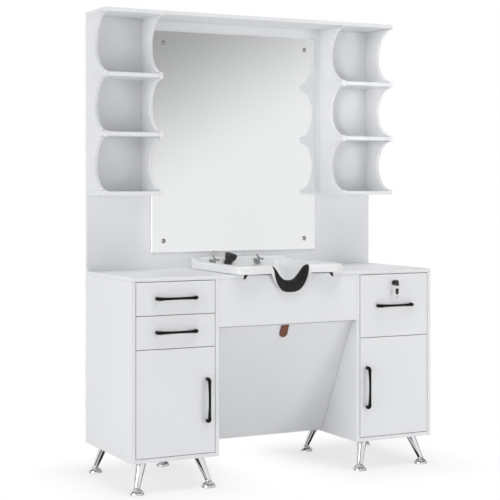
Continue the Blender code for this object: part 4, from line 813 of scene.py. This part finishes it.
def keyHead(form, middleX, bow, middle, eyeAt):
    # a flat ring between a superellipse outline and the eye's circle, its edges rounded by the section
    turn = onceRound(48)
    way = joined(np.cos(turn), np.sin(turn))
    power = form.bowPower
    reach = (np.abs(way / np.array(bow)) ** power).sum(axis=1, keepdims=True) ** (-1 / power)
    outer = np.asarray(middle) + way * reach
    inner = np.asarray(eyeAt) + way * form.eye
    section = onceRound(20)
    part = 0.5 + 0.5 * boxy(np.cos(section), form.edgePower)
    rise = form.bowThickness / 2 * boxy(np.sin(section), form.edgePower)
    yz = inner[None] + (outer - inner)[None] * part[:, None, None]
    return [(joined(middleX + rise[:, None], yz[..., 0], yz[..., 1]), True, True)]


def keyBlade(form, middleX):
    # a plate hung from the spare key's head; cuts step its front edge back along its length
    z = np.linspace(form.bladeFoot, form.spareZ, 90)
    half = form.blade / 2
    place = (z - form.bladeFoot) / (form.spareZ - form.bladeFoot)
    front = form.eyeY - half * (2 * np.interp(place, form.cutPlaces, form.cutShares) - 1)
    back = np.full(len(z), form.eyeY + half)
    x = np.array([-1, 1, 1, -1]) * form.bladeThickness / 2 + middleX
    return capped(joined(x, joined(front, front, back, back), z[:, None]),
                  (middleX, form.eyeY, z[0]), (middleX, form.eyeY, z[-1]))


def lockBarrel(form, length):
    # a turned sleeve with a flange, as (radius, height) points
    bore, top, rim = form.plug + form.plugPlay, form.flange, form.flangeRadius
    return easedProfile([
        (bore, -length), (bore, top - form.boreEdge), (bore + form.boreLip, top), (rim - form.flangeSlope, top),
        (rim, top - form.flangeEdge), (rim, 0), (form.barrel, 0), (form.barrel, -length), (bore, -length)],
        form.barrelEase, steps=4)[:-1]


def plugAndKey(form, key, spot, length):
    # the turned plug, the cam behind it and the shank of the key in it
    back = -length - form.plugPast
    plug = easedProfile([(0, form.flange), (form.plug, form.flange), (form.plug, back), (0, back)],
                        form.plugEase, steps=4)
    thick, high = key.bladeThickness / 2, key.blade / 2
    cam = roundedBox((form.x - form.camHalf, form.camY[0], form.z - form.camHalf),
                     (form.x + form.camReach, form.camY[1], form.z + form.camHalf), form.camEase)
    shank = roundedBox((form.x - thick, key.bowY, form.z - high),
                       (form.x + thick, form.face - form.shankSunk, form.z + high), form.shankEase)
    return [placed(turned(plug, steps=36), spot, towards), cam, shank]


def keyRing(form, middleX):
    # a wire's circle spun about the ring's middle
    turn = onceRound(12)
    wire = joined(form.ring + form.wire * np.cos(turn), form.wire * np.sin(turn))
    return placed(turned(wire, steps=48), (middleX, form.eyeY, form.ringZ), towards), True, True


lockSpot = (lockForm.x, lockForm.face, lockForm.z)
barrelLength = lockForm.tail - lockForm.face
barrel = placed(turned(lockBarrel(lockForm, barrelLength), steps=48), lockSpot, towards)
# barrel and plug take the near-black metal, whose darkness is a painted reflection
makePiece("lock_barrel", [(barrel, True, True)],
          "near-black metal with painted reflection", "right_drawer", "chrome", "lock_cylinder", crease=40)
makePiece("lock_plug_and_key", plugAndKey(lockForm, keyForm, lockSpot, barrelLength),
          "near-black metal with painted reflection", "lock_key", "steel", "lock_key", crease=40)
head = keyHead(keyForm, lockForm.x, keyForm.bow, (keyForm.bowY, lockForm.z), (keyForm.eyeY, lockForm.z))
makePiece("key_head", head, "black key head", "lock_key", "black_rubber", crease=50)
makePiece("spare_blade_and_ring", [keyRing(keyForm, lockForm.x), keyBlade(keyForm, lockForm.x)],
          "nickel steel", "spare_key", "steel", "spare_key", crease=40)
head = keyHead(keyForm, lockForm.x, keyForm.spareBow, (keyForm.eyeY, keyForm.spareZ),
               (keyForm.eyeY, keyForm.spareEyeZ))
makePiece("spare_key_head", head, "black key head", "spare_key", "black_rubber", crease=50)
print("lock and keys made")


# leather pull on the access panel

tabForm = Form({
    "pin": (0, 0.05782, 0.1471), "lean": 0.4684, "top": 0.54784, "length": 0.056, "half": 0.0185,
    "thickness": 0.0028, "edgePower": 0.35, "closedBelow": 1e-6, "lift": 0.0083, "curl": 0.0045,
    "curlFrom": 0.012, "curlPower": 1.5, "border": 0.0022, "rows": 70, "steps": 40, "stitchInset": 0.0036,
    "stitch": 0.0030, "pitch": 0.0046, "seamFrom": 0.004, "seamSteps": 60, "thread": 0.00055, "threadSteps": 7,
    "threadEnd": 0.04})


def onPanel(form, x, out, along):
    # local place on the leaning panel: across, out from its mid plane towards the user, up from its pin
    c, s = math.cos(form.lean), math.sin(form.lean)
    return joined(x, form.pin[1] - out * c - along * s, form.pin[2] - out * s + along * c)


def tabOutline(form, down):
    # half width at a distance below the top: straight, then a half circle at the nose
    past = np.clip(down - (form.length - form.half), 0, form.half)
    return np.sqrt(np.maximum(form.half ** 2 - past ** 2, 0))


def tabCurl(form, down):
    # how far the hide stands off the panel: a smooth step to a power, from below its fixing to its nose
    return form.curl * smoothStep((down - form.curlFrom) / (form.length - form.curlFrom)) ** form.curlPower


def leatherTab(form):
    # rows run down the tab, each a superellipse of the outline's half width and the hide's thickness
    down = form.length * np.sin(quarterTurn(form.rows))
    half = tabOutline(form, down)[:, None]
    turn = onceRound(form.steps)[None]
    thick = form.thickness / 2 * boxy(np.sin(turn), form.edgePower)
    out = form.lift + form.thickness / 2 + tabCurl(form, down)[:, None] + thick * (half > form.closedBelow)
    grid = onPanel(form, half * boxy(np.cos(turn), form.edgePower), out, (form.top - down)[:, None])
    cap = np.broadcast_to(grid[:1].mean(axis=1, keepdims=True), (1, form.steps, 3))
    return np.concatenate([cap, grid])


def seamPath(form):
    # both ends of the stitches along the inset outline: down one side, round the nose, up the other
    radius = form.half - form.stitchInset
    nose = form.length - form.half
    straight = np.linspace(form.seamFrom, nose, form.seamSteps)
    turn = np.linspace(0, np.pi, form.seamSteps)[1:-1]
    edge = np.full(form.seamSteps, radius)
    x = np.concatenate([-edge, -radius * np.cos(turn), edge])
    down = np.concatenate([straight, nose + radius * np.sin(turn), straight[::-1]])
    walked = np.concatenate([[0], np.cumsum(np.hypot(np.diff(x), np.diff(down)))])
    at = np.arange(form.pitch / 2, walked[-1], form.pitch)

    def place(distance):
        across = np.interp(distance, walked, x)
        below = np.interp(distance, walked, down)
        out = form.lift + form.thickness + tabCurl(form, below)
        return onPanel(form, across, out, form.top - below)
    return place(at - form.stitch / 2), place(at + form.stitch / 2)


def seam(form):
    # each stitch is a short round thread, swollen at its middle and sunk at its ends
    share = np.linspace(0, 1, form.threadSteps)
    swell = form.thread * np.sqrt(np.clip(1 - (2 * share - 1) ** 2, form.threadEnd, 1))
    outward = -np.array([0, math.cos(form.lean), math.sin(form.lean)])
    shells = []
    for start, end in zip(*seamPath(form)):
        path = start + (end - start) * share[:, None]
        shells.append(tubeAlong(path, swell, unit(np.cross(end - start, outward)), steps=8))
    return shells


def borderShare(form, places):
    # 1 at the tab's outline, falling to 0 over the border's width
    depth = (places[:, 2] - form.pin[2]) * math.cos(form.lean) - (places[:, 1] - form.pin[1]) * math.sin(form.lean)
    down = form.top - depth
    atNose = form.half - np.hypot(places[:, 0], down - form.length + form.half)
    gapToEdge = np.where(down > form.length - form.half, atNose, form.half - np.abs(places[:, 0]))
    return np.clip(1 - gapToEdge / form.border, 0, 1)


tab = makePiece("leather_pull", [leatherTab(tabForm)],
                "saddle leather", "access_panel", "brown_leather", "pull_tab", crease=50)
addMark(tab.data, "border", borderShare(tabForm, pointsOf(tab.data)))
makePiece("leather_pull_seam", seam(tabForm), "waxed thread", "access_panel", "brown_leather", crease=60)
print("leather pull made")


# small fittings: mirror studs, hinge cups and dark wedges of painted shade at the ends of the counter's cut-out

studForm = Form({
    "radius": 0.0105, "domeShare": 0.86, "height": 0.0065, "dome": (90, 12, 14), "collar": 0.0010,
    "seat": 0.0001, "ease": 0.0005, "face": 0.2587, "x": 0.350, "low": 0.969, "high": 1.8285})
cupForm = Form({
    "radius": 0.0175, "rise": 0.0010, "floor": 0.0002, "seat": 0.00005, "wall": 0.004, "lip": 0.003,
    "edge": 0.0006, "ease": 0.0004, "inset": 0.034, "doorEdge": 0.682, "face": -0.219, "fromEnd": 0.075})
wedgeForm = Form({
    "outline": ((0.1845, 0.8500), (0.2055, 0.8500), (0.2090, 0.8295), (0.2030, 0.8295)),
    "drift": {"left": 0.0045, "right": 0.0}, "front": -0.2354, "back": -0.2260})


def studs(form):
    # a low dome on a thin collar, spun and set on the glass at its four corners
    turn = np.radians(np.linspace(*form.dome))
    dome = joined(form.radius * form.domeShare * np.cos(turn), form.height * np.sin(turn))
    collar = easedProfile([dome[-1], (form.radius, form.collar), (form.radius, form.seat), (0, form.seat)],
                          form.ease, steps=4)
    stud = turned(np.concatenate([dome[:-1], collar]), steps=36)
    return [placed(stud, (x, form.face, z), towards) for x in (-form.x, form.x) for z in (form.low, form.high)]


def hingeCups(form, word, side):
    # pressed cups with a raised lip on the back of a door, level with its hinge arms
    radius = form.radius
    cup = easedProfile([(0, form.floor), (radius - form.wall, form.floor), (radius - form.lip, form.rise),
                        (radius - form.edge, form.rise), (radius, form.floor), (radius, form.seat),
                        (0, form.seat)], form.ease, steps=4)
    low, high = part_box(f"{word}_door")
    x = side * (form.doorEdge - form.inset)
    return [placed(turned(cup, steps=40), (x, form.face, z), (0, 1, 0))
            for z in (low.z + form.fromEnd, high.z - form.fromEnd)]


def shadeWedge(form, word, side):
    # a dark wedge of painted shade in the corner beside the apron's tongue: its outline carried back, each end
    # closed at the middle
    outline = (np.array(form.outline) + [form.drift[word], 0]) * [side, 1]
    middle = outline.mean(axis=0)
    xz = middle + (outline - middle) * np.array([0, 1, 1, 0])[:, None, None]
    return joined(xz[..., 0], np.repeat([form.front, form.back], 2)[:, None], xz[..., 1])


makePiece("mirror_studs", studs(studForm), "grey chrome with painted reflection", "station", "chrome", crease=40)
# black wedges stand where the gap at the cut-out's ends is only in shade: painted shade
makePiece("cutout_seals", [shadeWedge(wedgeForm, *one) for one in sides.items()],
          "soft black pad skin", "station", "black_rubber", crease=30)
for word, side in sides.items():
    makePiece(f"{word}_hinge_cups", hingeCups(cupForm, word, side),
              "nickel steel", f"{word}_door", "steel", crease=40)
print("studs, hinge cups and seals made")


# studio

worldForm = Form({"ambient": 0.39, "tint": (0.985, 0.992, 1.0)})
floorForm = Form({
    "tone": (0.92, 0.922, 0.925), "level": -0.0003, "reach": 30, "steps": 121, "cabinets": (0.323, 0.7),
    "depth": 0.28, "white": (0.64, 0.36), "fade": (-0.08, 0.36), "bandScale": 1.6, "bandBend": 1.5,
    "bandEdges": (0.42, 0.72), "bandTones": (0.02, 0.62), "bandFade": (0.15, 0.30), "farPale": 0.88})
# a lamp's place, target, size, power and whether shiny surfaces see it, and the spread of a narrow one
lamps = {"key": ((-5.1, -1.3, 1.6), (0, 0, 0.8), 3.0, 86.0, True),
         "top": ((0.5, -2.2, 8.0), (0, 0, 0.8), 4.0, 225.0, False),
         "front": ((2.5, -3.9, 0.8), (0.2, 0, 0.8), 1.8, 36.0, False),
         "back": ((0.8, 5.5, 2.2), (0, 0, 1.0), 3.0, 48.0, False),
         "tower": ((-1.9, -2.2, 1.6), (0.48, 0.13, 1.58), 0.3, 0.21, False, 15.0)}
# the mirror's flat is grey at a corner, paler with the way from it, and pale again past its side
mirrorFlatForm = Form({
    "x": (-4, 8, 61), "y": -6.0, "z": (-0.2, 5.0, 41), "corner": (2.26, 2.67), "reach": (1.78, 2.1),
    "shares": (0.42, 0.9), "start": 0.02, "length": 0.75, "dark": 0.38, "more": 0.52, "pale": 0.9, "side": 2.1,
    "sideFade": 1.3})
stripForm = Form({
    "radius": 7, "centre": 0.5, "steps": (161, 41), "count": 9.0, "phase": 0.6, "width": 0.30, "slope": 1.5,
    "dark": 0.03, "more": 0.85, "gapLift": 32, "gapFade": 12, "gapFloor": 0.15,
    "ranges": {"upper strips": ((-80, 80), (20, 80)), "left strips": ((-140, -64), (-3, 70)),
               "right strips": ((64, 140), (-3, 70))}})


def makeWorld(form):
    # even light on the pieces, and white where a camera, glossy or transmitted ray looks
    world = bpy.data.worlds.new("white studio")
    world.use_nodes = True
    tree = world.node_tree
    ambient = tree.nodes["Background"]
    ambient.inputs["Color"].default_value = (*form.tint, 1)
    ambient.inputs["Strength"].default_value = form.ambient
    white = addNode(tree, "Background", {"Color": (1, 1, 1, 1)})
    path = addNode(tree, "LightPath").outputs
    seen = path["Is Camera Ray"]
    for ray in ("Is Glossy Ray", "Is Transmission Ray"):
        seen = addNode(tree, "Math", {"Value": seen, "Value_001": path[ray]}, operation="MAXIMUM").outputs[0]
    mix = mixedShader(tree, seen, ambient, white)
    tree.links.new(mix.outputs["Shader"], tree.nodes["World Output"].inputs["Surface"])
    scene.world = world


def bareMaterial(name):
    made = bpy.data.materials.new(name)
    made.use_nodes = True
    tree = made.node_tree
    tree.nodes.remove(tree.nodes["Principled BSDF"])
    return made, tree, tree.nodes["Material Output"].inputs["Surface"]


def stageObject(name, mesh, material):
    mesh.materials.append(material)
    made = bpy.data.objects.new(name, mesh)
    scene.collection.objects.link(made)
    return made


def makeFloor(form):
    made, tree, output = bareMaterial("pale floor")
    path = addNode(tree, "LightPath").outputs
    fade, near = [addNode(tree, "Attribute", attribute_name=word).outputs["Fac"] for word in ("fade", "near")]
    matt = addNode(tree, "BsdfDiffuse", {"Color": (*form.tone, 1)})
    share = addNode(tree, "Math", {"Value": fade, "Value_001": path["Is Camera Ray"]}, operation="MULTIPLY")
    pale = mixedShader(tree, share.outputs[0], matt, addNode(tree, "Emission"))
    # shiny pieces see dark bands on the floor close to the legs, as from the flats of a studio
    place = addNode(tree, "TexCoord").outputs["Object"]
    bands = addNode(tree, "TexWave", {"Vector": place, "Scale": form.bandScale, "Distortion": form.bandBend})
    depth = ranged(tree, bands.outputs["Fac"], form.bandEdges, form.bandTones)
    level = addNode(tree, "Mix", {"Factor_Float": near, "A_Float": form.farPale, "B_Float": depth})
    streak = addNode(tree, "Emission", {"Strength": level.outputs[0]})
    mix = mixedShader(tree, path["Is Glossy Ray"], pale, streak)
    tree.links.new(mix.outputs["Shader"], output)
    # points crowd towards the station; the white share grows with the distance from its cabinets
    spread = form.reach * np.linspace(-1, 1, form.steps) ** 3
    x, y = np.meshgrid(spread, spread, indexing="ij")
    mesh = meshFrom("floor", [(joined(x, y, form.level), False, False)], turn=False)
    x, y = pointsOf(mesh).T[:2]
    inner, outer = form.cabinets
    across = np.maximum(np.abs(x) - outer, inner - np.abs(x))
    away = np.hypot(np.maximum(across, 0), np.maximum(np.abs(y) - form.depth, 0))
    start, length = form.fade
    low, more = form.white
    addMark(mesh, "fade", low + more * smoothStep((away - start) / length))
    start, length = form.bandFade
    addMark(mesh, "near", 1 - smoothStep((away - start) / length))
    floor = stageObject("floor", mesh, made)


def makeFlat(name, points, shade):
    # a studio flat that only shiny surfaces see; its brightness is the grid's own attribute
    mesh = meshFrom(name, [(points, False, False)], turn=False)
    addMark(mesh, "shade", shade.reshape(-1))
    made, tree, output = bareMaterial(name)
    reader = addNode(tree, "Attribute", attribute_name="shade")
    glow = addNode(tree, "Emission", {"Strength": reader.outputs["Fac"]})
    tree.links.new(glow.outputs["Emission"], output)
    flat = stageObject(name, mesh, made)
    for ray in ("camera", "diffuse", "transmission", "volume_scatter", "shadow"):
        setattr(flat, f"visible_{ray}", False)


def mirrorFlat(form):
    # an upright flat before the mirror: a smooth step of the weighed way from its grey corner, then one by x
    x, z = np.meshgrid(np.linspace(*form.x), np.linspace(*form.z), indexing="ij")
    far = (x - form.corner[0]) / form.reach[0]
    low = (form.corner[1] - z) / form.reach[1]
    way = low * form.shares[1] + far * form.shares[0] + form.start
    shade = form.dark + form.more * smoothStep(way / form.length)
    shade += (form.pale - shade) * smoothStep((form.side - x) / form.sideFade)
    makeFlat("mirror flat", joined(x, form.y, z), shade)


def stripFlat(form, name):
    # part of a sphere round the station with soft dark strips, for streaks in the chrome
    turn, lift = np.meshgrid(*[np.radians(np.linspace(*ends, steps))
                               for ends, steps in zip(form.ranges[name], form.steps)], indexing="ij")
    x = form.radius * np.sin(turn) * np.cos(lift)
    y = -form.radius * np.cos(turn) * np.cos(lift)
    z = form.centre + form.radius * np.sin(lift)
    strips = smoothStep(form.width + form.slope * np.cos(turn * form.count + form.phase))
    gap = smoothStep(np.abs(np.degrees(lift) - form.gapLift) / form.gapFade + form.gapFloor)
    makeFlat(name, joined(x, y, z), form.dark + form.more * strips * gap)


def addLamp(name, place, target, size, power, mirrored, spread=180.0):
    light = bpy.data.lights.new(name, "AREA")
    light.shape = "SQUARE"
    light.size = size
    light.energy = power
    light.spread = math.radians(spread)
    lamp = bpy.data.objects.new(name, light)
    lamp.location = place
    lamp.rotation_euler = (Vector(target) - Vector(place)).to_track_quat("-Z", "Y").to_euler()
    lamp.visible_glossy = mirrored
    scene.collection.objects.link(lamp)


makeWorld(worldForm)
makeFloor(floorForm)
mirrorFlat(mirrorFlatForm)
for name in stripForm.ranges:
    stripFlat(stripForm, name)
for name, setting in lamps.items():
    addLamp(f"{name} lamp", *setting)

cameraForm = Form({
    "place": (-2.661, -5.0278, 1.2062), "turn": -26.533, "lens": 95.80, "sensor": 36.0,
    "shift": (0.0372, -0.1274)})
eye = bpy.data.cameras.new("photo camera")
eye.sensor_width = cameraForm.sensor
eye.lens = cameraForm.lens
eye.shift_x, eye.shift_y = cameraForm.shift
camera = bpy.data.objects.new("photo camera", eye)
camera.location = cameraForm.place
camera.rotation_euler = (math.radians(90), 0, math.radians(cameraForm.turn))
scene.collection.objects.link(camera)
scene.camera = camera
scene.view_settings.view_transform = "Standard"
print("studio ready")
